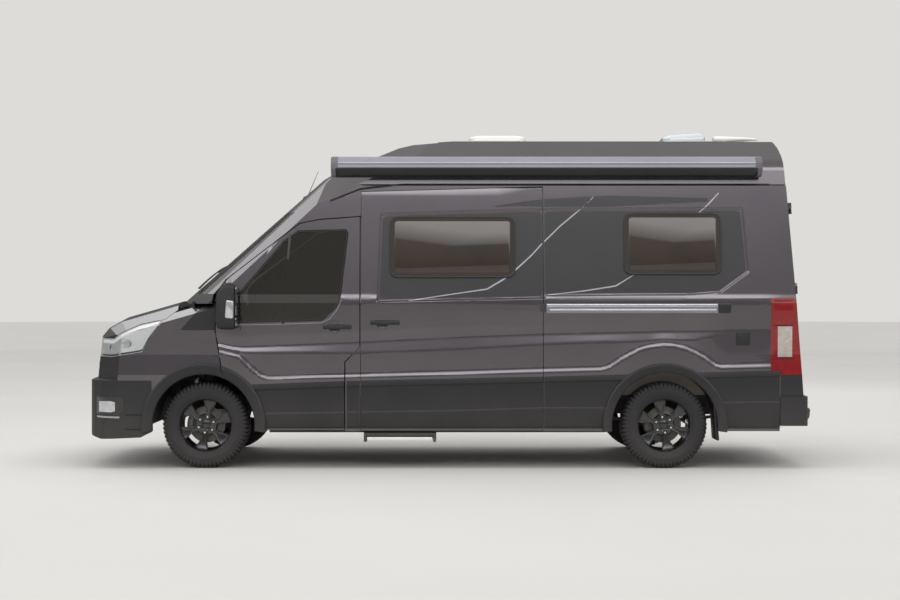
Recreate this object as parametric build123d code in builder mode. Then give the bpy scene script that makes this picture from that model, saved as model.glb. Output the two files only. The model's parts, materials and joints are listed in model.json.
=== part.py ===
"""A high-roof camper van on a long panel-van body, in millimetres.

+X points forward, +Y to the van's left and +Z up. The origin is on the ground,
half-way along and across the whole van, so the front axle is at front_axle_x.
In every table and outline, x is measured from the front axle, forward positive.
"""

import os
from math import cos, radians, sin

from build123d import *

os.makedirs("parts", exist_ok=True)

# Length of the van, from the bumper to the back of the tow ball
front_overhang = 1023.0
wheelbase = 3750.0
rear_overhang = 1208.0
ball_overhang = 205.0
front_axle_x = (front_overhang + wheelbase + rear_overhang + ball_overhang) / 2 - front_overhang
bumper_back = -(wheelbase + rear_overhang)

# Floor
floor_top = 585.0
floor_thickness = 30.0
floor_low = floor_top - floor_thickness

# Shell
wall = 55.0
nose_wall = 45.0
glass_thickness = 9.0
gap = 9.0
seat_gap = 0.4
run_gap = 0.3
sill_z = 305.0
gutter_z = 2320.0
crown_z = 2734.0
roof_corner_radius = 150.0
rear_corner_radius = 100.0

# Half of the cross-section behind the cab, from the sill up: y, z
section_rows = [
    (996, -300),
    (996, 300),
    (1016, 430),
    (1024, 700),
    (1029, 765),
    (1020, 930),
    (1022, 1060),
    (1029, 1350),
    (1018, 1420),
    (934, 2312),
    (908, 2326),
    (886, 2500),
]
crown_half = 640.0
crown_edge_z = 2700.0

# Flats that shape the front of the cab and roof: slope in degrees, x, z on the
# centre line, half width of the crowned middle, sag at its edge, sag at y 1060
cab_slopes = [
    (41.4, 168, 1467, 760, 98, 250),
    (31.5, -921, 2420, 740, 76, 270),
    (22.0, -1405, 2623, 700, 56, 330),
    (13.0, -1620, 2696, 680, 46, 330),
    (5.0, -1850, 2722, 660, 38, 330),
]
# The same for the back edge of the roof, sloping down to the rear
tail_slopes = [
    (-20.0, -(wheelbase + 938), 2732, 660, 30, 200),
    (-50.0, -(wheelbase + 968), 2720, 660, 30, 170),
]
# The same for the bonnet and the nose
nose_slopes = [
    (16.0, 600, 1282, 640, 46, 170),
    (29.0, 900, 1160, 640, 46, 190),
    (50.0, 978, 1085, 620, 60, 240),
    (84.0, 1000, 900, 640, 70, 330),
]
side_y = 1060.0
# How far cutters run past the van, where they start behind it, and a length past them all
reach = side_y + 240.0
far_back = bumper_back - reach
span = 1.4 * (front_overhang + wheelbase + rear_overhang)

# Wheels
tyre_radius = 352.0
tyre_width = 232.0
rim_radius = 220.0
rim_width = 190.0
front_track = 1731.0
rear_track = 1759.0
front_plane_y = front_track / 2
rear_plane_y = rear_track / 2
hub_radius = 84.0
spoke_count = 6
nut_circle = 65.0
disc_radius = 150.0

# Arches: x of the centre from the axle, radius of the opening, radius of the trim
arch_shift = 8.0
front_arch = 418.0
rear_arch = 432.0
trim_radius = 508.0
trim_proud = 7.0
liner_thickness = 8.0
liner_inner = 436.0
liner_outer = liner_inner + liner_thickness

# Steering axis of the left front wheel: lower ball joint and a point at the strut's top
ball_joint_y = 770.0
ball_joint_z = 235.0
strut_lean = 150.0 / 725.0


def at(points):
    """Outline points given from the front axle, in the van's frame."""
    return [(front_axle_x + x, z) for x, z in points]


def mirrored(points):
    """A half outline and its mirror image, as one closed loop."""
    return points + [(-y, z) for y, z in reversed(points)]


def side_block(points, inner, outer, corner=0.0):
    """A prism of a side-view outline, between two distances to the left."""
    with BuildPart() as block:
        with BuildSketch(Plane.XZ.offset(-inner)) as outline:
            with BuildLine():
                Polyline(*at(points), close=True)
            make_face()
            if corner:
                fillet(outline.vertices(), corner)
        extrude(amount=inner - outer)
    return block.part


def front_block(points, back, front):
    """A prism of a front-view half outline, mirrored, between two places along the van."""
    with BuildPart() as block:
        with BuildSketch(Plane.YZ.offset(front_axle_x + back)):
            with BuildLine():
                Polyline(*mirrored(points), close=True)
            make_face()
        extrude(amount=front - back)
    return block.part


def box_at(x, y, z, corner=0.0):
    """A box between low and high values of x from the front axle, y and z."""
    with BuildPart() as block:
        with BuildSketch(Plane.XY.offset(z[0])) as outline:
            with Locations((front_axle_x + (x[0] + x[1]) / 2, (y[0] + y[1]) / 2)):
                Rectangle(abs(x[1] - x[0]), abs(y[1] - y[0]))
            if corner:
                fillet(outline.vertices(), corner)
        extrude(amount=z[1] - z[0])
    return block.part


def tube_y(x, z, radius, inner, outer):
    """A cylinder across the van, from one distance to the left to another."""
    with BuildPart() as block:
        with BuildSketch(Plane.XZ.offset(-inner)):
            with Locations((front_axle_x + x, z)):
                Circle(radius)
        extrude(amount=inner - outer)
    return block.part


def both_sides(solid):
    """A left-hand solid and its mirror image."""
    return [solid, solid.mirror(Plane.XZ)]


def section_prism(inset):
    """The cross-section run the whole length of the van."""
    with BuildPart() as prism:
        with BuildSketch(Plane.YZ.offset(front_axle_x + bumper_back - reach)) as outline:
            with BuildLine():
                right = Polyline(*section_rows)
                left = Polyline(*[(-y, z) for y, z in section_rows])
                side_right = Line(right @ 1, (crown_half, crown_edge_z))
                side_left = Line(left @ 1, (-crown_half, crown_edge_z))
                ThreePointArc(side_right @ 1, (0, crown_z), side_left @ 1)
                Line(right @ 0, left @ 0)
            make_face()
            shoulders = [v for v in outline.vertices() if abs(v.Y - section_rows[-1][1]) < 1]
            fillet(shoulders, roof_corner_radius)
            if inset:
                offset(amount=-inset, kind=Kind.INTERSECTION, mode=Mode.REPLACE)
        extrude(amount=rear_overhang + wheelbase + front_overhang + 2 * reach)
    return prism.part


def slope_prism(row, inset):
    """One crowned flat of the front, run along its own slope."""
    slope, x, z, half, sag, side_sag = row
    angle = radians(slope)
    along = (-cos(angle), 0, sin(angle))
    plane = Plane(origin=(front_axle_x + x, 0, z), x_dir=(0, -1, 0), z_dir=along)
    with BuildPart() as prism:
        with BuildSketch(plane) as outline:
            with BuildLine():
                crown = ThreePointArc((-half, -sag), (0, 0), (half, -sag))
                edge = [(half, -sag), (side_y, -side_sag), (side_y + 60, -side_sag - 300)]
                right = Polyline(*edge, (side_y + 60, -span))
                left = Polyline(*[(-y, n) for y, n in edge], (-side_y - 60, -span))
                Line(right @ 1, left @ 1)
            make_face()
            bends = [v for v in outline.vertices()
                     if abs(abs((Vector(v) - plane.origin).dot(Vector(0, 1, 0))) - half) < 1]
            fillet(bends, 190.0)
            if inset:
                offset(amount=-inset, kind=Kind.INTERSECTION, mode=Mode.REPLACE)
        extrude(amount=span, both=True)
    return prism.part


# The back leans forward as it rises
rear_lean = 4.3
rear_x = -(wheelbase + 1102.0)
rear_z = 1300.0
rear_bow = 26.0


def rear_prism(inset):
    """The back of the body, bowed in plan and rounded at its corners, run along its lean."""
    angle = radians(rear_lean)
    plane = Plane(
        origin=(front_axle_x + rear_x, 0, rear_z),
        x_dir=(0, 1, 0),
        z_dir=(sin(angle), 0, cos(angle)),
    )
    with BuildPart() as prism:
        with BuildSketch(plane) as outline:
            with BuildLine():
                bow = ThreePointArc((-1031, -rear_bow), (0, 0), (1031, -rear_bow))
                right = Line(bow @ 1, (1031, -span))
                left = Line(bow @ 0, (-1031, -span))
                Line(right @ 1, left @ 1)
            make_face()
            corners = outline.vertices().sort_by(Axis.X)[:2]
            fillet(corners, rear_corner_radius)
            if inset:
                offset(amount=-inset, kind=Kind.INTERSECTION, mode=Mode.REPLACE)
        extrude(amount=span, both=True)
    return prism.part


def cab_envelope(inset):
    """The closed form of the cab, living space and roof, drawn inset from the skin."""
    with BuildPart() as form:
        add(section_prism(inset))
        add(rear_prism(inset), mode=Mode.INTERSECT)
        for row in cab_slopes + tail_slopes:
            add(slope_prism(row, inset), mode=Mode.INTERSECT)
    return form.part


def nose_envelope(inset):
    """The closed form of the bonnet, wings and nose, drawn inset from the skin."""
    with BuildPart() as form:
        add(section_prism(inset))
        add(box_at((-600, 1400), (-reach, reach), (-250, 1700)), mode=Mode.INTERSECT)
        for row in nose_slopes:
            add(slope_prism(row, inset), mode=Mode.INTERSECT)
    return form.part


cab_outer = cab_envelope(0)
cab_shell = cab_outer - cab_envelope(wall)
cab_glass = cab_outer - cab_envelope(glass_thickness)
nose_outer = nose_envelope(0)
nose_shell = nose_outer - nose_envelope(nose_wall)

# Shut lines seen from the side, x from the front axle and z
roof_line = [(-820, 2105), (-1008, 2180), (-1270, 2285), (-1600, gutter_z), (far_back, gutter_z)]
header_z = 2105.0
cowl_z = 1425.0
cab_door_outline = [
    (-82, 1129), (-131, 834), (-156, 720), (-156, sill_z), (-1148, sill_z), (-1148, 867),
    (-1270, 990), (-1270, 2064), (-934, 2039), (-770, 2006), (-150, 1545), (-105, 1475),
]
slide_front = -1270.0
slide_back = -2762.0
slide_door_outline = [
    (slide_front, sill_z), (slide_back, sill_z), (slide_back, 2306), (slide_front, 2264),
]
bonnet_line = [(1300, 1058), (770, 1058), (664, 1116), (541, 1174), (328, 1216), (205, 1340)]
bumper_top = 719.0
trim_outline = [(197, 1129), (-25, 1382), (-105, 1475), (-82, 1129)]
wing_outline = [
    (-82, 1129), (-131, 834), (-156, 720), (-156, 420), (430, 420), (430, bumper_top),
    (1300, bumper_top), *bonnet_line, (60, 1450), (-25, 1382), (197, 1129),
]
headlamp_outline = [
    (1300, 905), (787, 905), (508, 950), (459, 1047), (328, 1216), (541, 1174), (664, 1116),
    (770, 1058), (1300, 1058),
]
headlamp_inner_y = 585.0
screen_corners = [(850, cowl_z), (775, header_z)]
pillar_width = 62.0
rear_door_edge = 870.0
rear_door_low = 600.0
rear_door_high = 2300.0
lamp_front = -(wheelbase + 862.0)
lamp_low = 768.0
lamp_high = 1391.0
bumper_seam = -(wheelbase + 940.0)
rear_wall_zone = -(wheelbase + 750.0)

# Cutters used by several panels
front_arch_cut = tube_y(arch_shift, tyre_radius, front_arch, 600, reach)
rear_arch_cut = tube_y(-wheelbase, tyre_radius, rear_arch, 600, reach)


def inset_block(points, inner, outer, amount):
    """A side-view prism with its outline drawn in by a shut gap."""
    with BuildPart() as block:
        with BuildSketch(Plane.XZ.offset(-inner)):
            with BuildLine():
                Polyline(*at(points), close=True)
            make_face()
            offset(amount=-amount, kind=Kind.INTERSECTION, mode=Mode.REPLACE)
        extrude(amount=inner - outer)
    return block.part


def write(solid, name):
    """Label a finished piece and write its file."""
    solid.label = name
    export_step(solid, f"parts/{name}.step")


# Windows of the living space: x of the middle, z of the middle, width, height, side
window_rows = [
    (-2020, 1809, 1030, 504, 1),
    (-(wheelbase + 68), 1836, 800, 510, 1),
    (-2020, 1809, 1030, 504, -1),
    (-(wheelbase + 68), 1836, 800, 510, -1),
]
window_corner = 75.0
window_proud = 6.0
window_depth = 32.0
upper_low = Vector(0, section_rows[8][0], section_rows[8][1])
upper_high = Vector(0, section_rows[9][0], section_rows[9][1])
upper_normal = Vector(0, upper_high.Z - upper_low.Z, upper_low.Y - upper_high.Y).normalized()


def window_plane(x, z):
    """The plane of the left upper side, centred on a window."""
    share = (z - upper_low.Z) / (upper_high.Z - upper_low.Z)
    y = upper_low.Y + share * (upper_high.Y - upper_low.Y)
    return Plane(origin=(front_axle_x + x, y, z), x_dir=(1, 0, 0), z_dir=tuple(upper_normal))


def window_block(row, clearance, inward, outward):
    """A rounded window plate on the left side, smaller than its opening by a clearance."""
    x, z, width, height, _ = row
    with BuildPart() as block:
        with BuildSketch(window_plane(x, z).offset(-inward)):
            RectangleRounded(width - 2 * clearance, height - 2 * clearance, window_corner)
        extrude(amount=inward + outward)
    return block.part


window_cuts = [window_block(row, 0, 120, 60) for row in window_rows[:2]]

with BuildPart() as living_windows:
    for row in window_rows:
        pane = window_block(row, seat_gap, window_depth - window_proud, window_proud)
        add(pane if row[4] > 0 else pane.mirror(Plane.XZ))
write(living_windows.part, "living_windows")

# Roof cap
with BuildPart() as roof:
    add(cab_shell)
    add(side_block([*roof_line, (far_back, 3000), (900, 3000), (900, header_z)], -reach, reach),
        mode=Mode.INTERSECT)
write(roof.part, "roof")

# Windscreen
screen_block = front_block(screen_corners, -1400, 700)
with BuildPart() as windscreen:
    add(cab_glass)
    add(front_block([(screen_corners[0][0] - seat_gap, cowl_z + seat_gap),
                     (screen_corners[1][0] - seat_gap, header_z - seat_gap)], -1400, 700),
        mode=Mode.INTERSECT)
write(windscreen.part, "windscreen")

# Body sides, each with its door post and inner roof rail
side_outline = [
    (far_back, sill_z), (-156, sill_z), (-156, 720), (-131, 834), (-82, 1129), (-105, 1475),
    (-60, cowl_z), (900, cowl_z), (900, header_z), *roof_line,
]
post_inset = wall + 14.0
inner_form = cab_envelope(post_inset)
rail_form = cab_envelope(wall - 6.0)
rear_opening = front_block([(rear_door_edge, -300), (rear_door_edge, rear_door_high)],
                           far_back, rear_wall_zone - 100)
lamp_block = side_block(
    [(lamp_front, lamp_low), (lamp_front, lamp_high), (far_back, lamp_high), (far_back, lamp_low)],
    rear_door_edge, reach)
rear_bumper_block = side_block(
    [(bumper_seam, -300), (bumper_seam, lamp_low), (far_back, lamp_low), (far_back, -300)],
    -reach, reach)


under_roof = side_block([*roof_line, (far_back, 100), (-820, 100)], 300, reach)
rail_back = slide_back - 28.0
post_x = (slide_front - 65.0, slide_front + 105.0)


def body_side(has_slide_door):
    """The left body side behind the cab door's hinges, with its posts and openings."""
    with BuildPart() as side:
        add(cab_shell)
        add(side_block(side_outline, 300, reach), mode=Mode.INTERSECT)
        add(side_block(cab_door_outline, 300, reach), mode=Mode.SUBTRACT)
        add(screen_block, mode=Mode.SUBTRACT)
        add(nose_outer & box_at((-84, 900), (-reach, reach), (0, 1700)), mode=Mode.SUBTRACT)
        add(rear_opening, mode=Mode.SUBTRACT)
        add(lamp_block, mode=Mode.SUBTRACT)
        add(rear_bumper_block, mode=Mode.SUBTRACT)
        add(rear_arch_cut, mode=Mode.SUBTRACT)
        add(window_cuts[1], mode=Mode.SUBTRACT)
        if has_slide_door:
            add(side_block(slide_door_outline, 300, reach), mode=Mode.SUBTRACT)
        else:
            add(window_cuts[0], mode=Mode.SUBTRACT)
        add(inner_form & under_roof & box_at(post_x, (780, reach), (floor_top, gutter_z)))
        add(inner_form & under_roof & box_at((rail_back, -760), (800, reach), (2225, gutter_z)))
        strip = box_at((rail_back, slide_front - 20), (800, reach), (gutter_z - 8, gutter_z))
        add(rail_form & under_roof & strip)
        add(rail_form & box_at((slide_front + 14, post_x[1]), (900, reach), (floor_top, 850)))
        for z in rear_hinge_heights:
            add(rear_hinge(z, 1))
    return side.part


# Rear door hinges: a knuckle on the leaning axis behind the skin, with a leaf to each side
rear_hinge_y = 872.0
rear_hinge_out = 10.4
rear_hinge_heights = [1470.0, 2130.0]
knuckle_length = 45.0
knuckle_radius = 11.0
leaf_width = 62.0
rear_up = Vector(sin(radians(rear_lean)), 0, cos(radians(rear_lean)))
rear_back = Vector(-cos(radians(rear_lean)), 0, sin(radians(rear_lean)))
rear_origin = Vector(front_axle_x + rear_x, rear_hinge_y, rear_z) + rear_back * rear_hinge_out


def rear_hinge(z, side):
    """A hinge knuckle at a height up the left rear post, with its leaf towards post or door."""
    plane = Plane(origin=rear_origin + rear_up * (z - rear_z), x_dir=(0, 1, 0), z_dir=tuple(rear_up))
    with BuildPart() as hinge:
        with BuildSketch(plane):
            Circle(knuckle_radius)
            with Locations((side * leaf_width / 2, -knuckle_radius)):
                Rectangle(leaf_width, 2 * knuckle_radius)
        extrude(amount=knuckle_length)
        with BuildSketch(plane):
            with Locations((side * leaf_width * 0.6, -knuckle_radius - 20)):
                Rectangle(leaf_width * 0.8, 60)
        extrude(amount=knuckle_length)
        add(cab_outer, mode=Mode.SUBTRACT)
    return hinge.part


left_side = body_side(True)
right_side = body_side(False).mirror(Plane.XZ)
write(left_side, "side_left")
write(right_side, "side_right")

# Sliding door, hung on the front end of its rail by a short bracket
rail_band = (-(wheelbase + 530.0), slide_back - 23.0)
rail_face_y = 1037.0
rail_height = (1268.0, 1348.0)
with BuildPart() as slide_door:
    add(cab_shell)
    add(inset_block(slide_door_outline, 300, reach, gap / 2), mode=Mode.INTERSECT)
    add(window_cuts[0], mode=Mode.SUBTRACT)
    add(box_at((rail_band[1] + run_gap, slide_back + 30), (900, rail_face_y),
               (rail_height[0] + 12, rail_height[1] - 12)) - section_prism(0))
write(slide_door.part, "slide_door")

# Cab doors with their side windows
cab_window_outline = [
    (-250, 1185), (-250, 1400), (-640, 1860), (-760, 1945), (-1150, 1955), (-1172, 1925),
    (-1112, 1400), (-1075, 1310), (-960, 1205),
]
door_block = inset_block(cab_door_outline, 300, reach, gap)
flange_cut = cab_envelope(20) & box_at((slide_front - 1, slide_front + 26), (300, reach), (1000, 2100))
hinge_heights = [905.0, 1065.0]
pillar_block = front_block([(y + pillar_width, z) for y, z in screen_corners], -1400, 700)
with BuildPart() as cab_door:
    add(cab_shell)
    add(door_block, mode=Mode.INTERSECT)
    add(front_arch_cut, mode=Mode.SUBTRACT)
    add(side_block(cab_window_outline, 300, reach), mode=Mode.SUBTRACT)
    add(flange_cut, mode=Mode.SUBTRACT)
    add(pillar_block, mode=Mode.SUBTRACT)
    add(tube_y(0, tyre_radius, liner_outer + 8, 600, 991), mode=Mode.SUBTRACT)
    for z in hinge_heights:
        leaf = cab_shell & box_at((-150, -70), (985, 1014), (z, z + 40))
        add(leaf & inset_block(cab_door_outline, 300, reach, run_gap))
with BuildPart() as cab_glass_pane:
    add(cab_glass)
    add(inset_block(cab_window_outline, 300, reach, seat_gap), mode=Mode.INTERSECT)

# Mirror on its arm, drawn from the side
mirror_outline = [(-112, 1190), (-150, 1135), (-285, 1135), (-293, 1200), (-285, 1490),
                  (-235, 1521), (-165, 1500), (-120, 1400)]
mirror_inner_y = 1068.0
mirror_outer_y = 1237.0
with BuildPart() as door_mirror:
    add(side_block(mirror_outline, mirror_inner_y, mirror_outer_y))
    fillet(door_mirror.faces().sort_by(Axis.Y)[-1].edges(), 22)
    add(side_block([(-150, 1140), (-270, 1140), (-265, 1200), (-155, 1200)], 960, mirror_inner_y + 8)
        - cab_outer)

for name, part in [("cab_door", cab_door.part), ("cab_window", cab_glass_pane.part),
                   ("mirror", door_mirror.part)]:
    left, right = both_sides(part)
    write(left, f"{name}_left")
    write(right, f"{name}_right")

# Front wings, black corner trims and headlamps
inner_box = box_at((-300, 330), (-830, 830), (1000, 1700))
with BuildPart() as wing:
    add(nose_shell)
    add(side_block(wing_outline, headlamp_inner_y, reach), mode=Mode.INTERSECT)
    add(side_block(headlamp_outline, 300, reach), mode=Mode.SUBTRACT)
    add(front_arch_cut, mode=Mode.SUBTRACT)
    add(inner_box, mode=Mode.SUBTRACT)
with BuildPart() as pillar_trim:
    add(nose_shell)
    add(side_block(trim_outline, 860, reach), mode=Mode.INTERSECT)
with BuildPart() as headlamp:
    add(nose_shell)
    add(inset_block(headlamp_outline, headlamp_inner_y, reach, seat_gap), mode=Mode.INTERSECT)
for name, part in [("front_wings", wing.part), ("headlamps", headlamp.part)]:
    with BuildPart() as pair:
        add(both_sides(part))
    write(pair.part, name)

# Bonnet, cut at the back along the curve of the cowl
with BuildPart() as cowl_sweep:
    with BuildSketch(Plane.XY.offset(900)):
        with BuildLine():
            curve = ThreePointArc(*at([(200, -1100), (312, 0), (200, 1100)]))
            Polyline(curve @ 1, (front_axle_x + 1500, 1100), (front_axle_x + 1500, -1100), curve @ 0)
        make_face()
    extrude(amount=900)
with BuildPart() as bonnet:
    add(nose_shell)
    add(inset_block([*bonnet_line, (205, 1700), (1300, 1700)], -reach, reach, gap / 2),
        mode=Mode.INTERSECT)
    add(cowl_sweep.part, mode=Mode.INTERSECT)
write(bonnet.part, "bonnet")

# Scuttle: the cowl below the windscreen, its shelf and the bulkhead
bulkhead = (112.0, 132.0)
liner_clear = [tube_y(0, tyre_radius, liner_outer + 2, side * 500, side * reach) for side in (1, -1)]
with BuildPart() as scuttle:
    add(cab_shell)
    add(front_block([(1000, 1345), (1000, cowl_z - seat_gap)], -60, 500), mode=Mode.INTERSECT)
    add(nose_outer, mode=Mode.SUBTRACT)
    add(inner_form & box_at((bulkhead[0], 290), (-826, 826), (1330, 1362)))
    add(rail_form & box_at((bulkhead[0], 290), (-700, 700), (1335, 1362)))
    add(box_at(bulkhead, (-826, 826), (floor_top + seat_gap, 1362)))
    add(liner_clear, mode=Mode.SUBTRACT)
write(scuttle.part, "scuttle")

# Grille: a flat-ended frame across the nose with level bars
grille_low = bumper_top + seat_gap
grille_high = 1058.0 - gap / 2
grille_half = headlamp_inner_y - seat_gap
slot_rows = [(790, 470), (846, 500), (902, 520), (958, 520), (1010, 500)]
slot_height = 40.0
buffer_x = 946.0
buffer_y = 300.0
buffer_radius = 12.0
with BuildPart() as grille:
    add(nose_shell)
    add(front_block([(grille_half, grille_low), (grille_half, grille_high)], 600, 1300),
        mode=Mode.INTERSECT)
    for z, half in slot_rows:
        slot = front_block([(half - slot_height / 2, z - slot_height / 2), (half, z + slot_height / 2)],
                           600, 1300)
        add(slot, mode=Mode.SUBTRACT)
    with BuildSketch(Plane.XY.offset(grille_high)):
        with Locations((front_axle_x + buffer_x, buffer_y), (front_axle_x + buffer_x, -buffer_y)):
            Circle(buffer_radius)
    extrude(amount=gap - run_gap)
write(grille.part, "grille")

# Front bumper, hollow, with its lower intake and lamp recesses
bumper_low = 240.0
bumper_skin = 40.0
bumper_side_y = 1026.0
bumper_bow = (front_overhang, 958.0, 860.0)
bumper_corner = 215.0


def bumper_form(inset):
    """The bumper's plan, drawn inset, from its underside to the wing line."""
    with BuildPart() as form:
        with BuildSketch(Plane.XY.offset(bumper_low)) as outline:
            with BuildLine():
                middle, side, half = bumper_bow
                bow = ThreePointArc(*at([(side, -half), (middle, 0), (side, half)]))
                Polyline(bow @ 1, *at([(800, bumper_side_y), (-300, bumper_side_y),
                                       (-300, -bumper_side_y), (800, -bumper_side_y)]), bow @ 0)
            make_face()
            front_corners = [v for v in outline.vertices() if v.X > front_axle_x]
            fillet(front_corners, bumper_corner)
            if inset:
                offset(amount=-inset, kind=Kind.INTERSECTION, mode=Mode.REPLACE)
        extrude(amount=bumper_top - seat_gap - bumper_low)
    return form.part


bumper_side_outline = [(430, 300), (520, 255), (860, bumper_low), (950, 262), (1100, 420),
                       (1100, bumper_top - seat_gap), (430 + seat_gap, bumper_top - seat_gap)]
bumper_profile = side_block(bumper_side_outline, -reach, reach)
with BuildPart() as front_bumper:
    add(bumper_form(0))
    add(bumper_profile, mode=Mode.INTERSECT)
    add(bumper_form(bumper_skin), mode=Mode.SUBTRACT)
    for z in (345, 410, 475):
        add(front_block([(520, z), (540, z + 42)], 700, 1300), mode=Mode.SUBTRACT)
    add([front_arch_cut, front_arch_cut.mirror(Plane.XZ)], mode=Mode.SUBTRACT)
write(front_bumper.part, "front_bumper")

# Arch trims on body and door, and the corner trims, as black pieces seated on the paint
def arch_trim(x, opening, region):
    """A proud ring round an arch on the left, kept where a side-view region allows it."""
    with BuildPart() as trim:
        add(tube_y(x, tyre_radius, trim_radius, 985, 1029 + trim_proud))
        add(tube_y(x, tyre_radius, opening, 600, reach), mode=Mode.SUBTRACT)
        add(region, mode=Mode.INTERSECT)
        add(section_prism(0), mode=Mode.SUBTRACT)
    return trim.part


wing_trim_region = side_block([(-131, 834), (-156, 720), (-156, 420), (430, 420),
                               (430, bumper_top), (900, bumper_top), (900, 1200), (-82, 1129)],
                              900, reach)
rear_trim_region = side_block([(x - wheelbase, z) for x, z in
                               [(-550, sill_z), (550, sill_z), (550, 1100), (-550, 1100)]], 900, reach)
wing_trim = arch_trim(arch_shift, front_arch, wing_trim_region)
rear_trim = arch_trim(-wheelbase, rear_arch, rear_trim_region)
door_trim = arch_trim(arch_shift, front_arch, door_block)
with BuildPart() as body_trims:
    for part in (wing_trim, rear_trim, pillar_trim.part):
        add(both_sides(part))
write(body_trims.part, "body_trims")
for name, part in zip(("door_trim_left", "door_trim_right"), both_sides(door_trim)):
    write(part, name)

# Wheel arch liners
front_liner_y = (548.0, 983.6)
rear_liner_y = (735.0, 960.0)


def arch_liner(x, inner_radius, span, low):
    """A half tube over one wheel."""
    with BuildPart() as liner:
        add(tube_y(x, tyre_radius, inner_radius + liner_thickness, *span))
        add(tube_y(x, tyre_radius, inner_radius, *span), mode=Mode.SUBTRACT)
        add(box_at((x - 600, x + 600), (0, reach), (-100, low)), mode=Mode.SUBTRACT)
    return liner.part


with BuildPart() as wheel_liners:
    front_liner = arch_liner(0, liner_inner, front_liner_y, 360) - wing.part - front_bumper.part
    rear_liner = arch_liner(-wheelbase, rear_arch + 8, rear_liner_y, 360) - left_side
    add(both_sides(front_liner))
    add(both_sides(rear_liner))
write(wheel_liners.part, "wheel_liners")

# Rear doors, each with its window, hinged on an axis that leans as the back does
rear_door_half = [(gap / 2, rear_door_low), (rear_door_edge - gap, rear_door_low),
                  (rear_door_edge - gap, rear_door_high - 12), (gap / 2, rear_door_high - 12)]
rear_window_outline = [(110, 1480), (740, 1480), (725, 2050), (110, 2050)]


def rear_block(points, clearance, corner):
    """A front-view outline on the left, run through the back wall."""
    with BuildPart() as block:
        with BuildSketch(Plane.YZ.offset(front_axle_x + far_back)) as outline:
            with BuildLine():
                Polyline(*points, close=True)
            make_face()
            if corner:
                fillet(outline.vertices(), corner)
            if clearance:
                offset(amount=-clearance, kind=Kind.INTERSECTION, mode=Mode.REPLACE)
        extrude(amount=rear_wall_zone - far_back)
    return block.part


with BuildPart() as rear_door:
    add(cab_shell)
    add(rear_block(rear_door_half, 0, 0), mode=Mode.INTERSECT)
    add(rear_block(rear_window_outline, 0, 60), mode=Mode.SUBTRACT)
    for z in rear_hinge_heights:
        add(rear_hinge(z - knuckle_length - run_gap, -1))
with BuildPart() as rear_glass:
    add(cab_glass)
    add(rear_block(rear_window_outline, seat_gap, 60), mode=Mode.INTERSECT)
for name, part in [("rear_door", rear_door.part), ("rear_window", rear_glass.part)]:
    left, right = both_sides(part)
    write(left, f"{name}_left")
    write(right, f"{name}_right")

# Tail lamps wrap the rear corners
with BuildPart() as tail_lamp:
    add(cab_shell)
    add(inset_block([(lamp_front, lamp_low), (lamp_front, lamp_high), (far_back, lamp_high),
                     (far_back, lamp_low)], rear_door_edge + seat_gap, reach, seat_gap),
        mode=Mode.INTERSECT)
with BuildPart() as tail_lamps:
    add(both_sides(tail_lamp.part))
write(tail_lamps.part, "tail_lamps")

# Rear bumper with its step and the black corners under the lamps
rear_bumper_low = 350.0
rear_bumper_high = rear_door_low - 12.0


def rear_bumper_form(inset):
    """The rear bumper's plan, drawn inset."""
    with BuildPart() as form:
        with BuildSketch(Plane.XY.offset(rear_bumper_low)) as outline:
            with BuildLine():
                bow = ThreePointArc(*at([(bumper_back + 40, -1000), (bumper_back, 0),
                                         (bumper_back + 40, 1000)]))
                Polyline(bow @ 1, *at([(bumper_back + 60, 1034), (bumper_seam, 1034),
                                       (bumper_seam, -1034), (bumper_back + 60, -1034)]), bow @ 0)
            make_face()
            corners = [v for v in outline.vertices() if v.X < front_axle_x + bumper_seam - 100]
            fillet(corners, 18)
            if inset:
                offset(amount=-inset, kind=Kind.INTERSECTION, mode=Mode.REPLACE)
        extrude(amount=rear_bumper_high - rear_bumper_low)
    return form.part


with BuildPart() as rear_bumper:
    add(rear_bumper_form(0))
    add(rear_bumper_form(wall), mode=Mode.SUBTRACT)
    add(box_at((bumper_seam - 200, bumper_seam + 60), (-900, 900), (0, 700)), mode=Mode.SUBTRACT)
    corner_block = side_block([(bumper_seam - seat_gap, rear_bumper_low),
                               (bumper_seam - seat_gap, lamp_low - seat_gap),
                               (far_back, lamp_low - seat_gap), (far_back, rear_bumper_low)],
                              rear_door_edge + seat_gap, reach)
    corner = cab_shell & corner_block
    add(both_sides(corner))
    add(box_at((bumper_back - 50, bumper_seam), (-90, 90), (0, 452)), mode=Mode.SUBTRACT)
write(rear_bumper.part, "rear_bumper")

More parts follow.
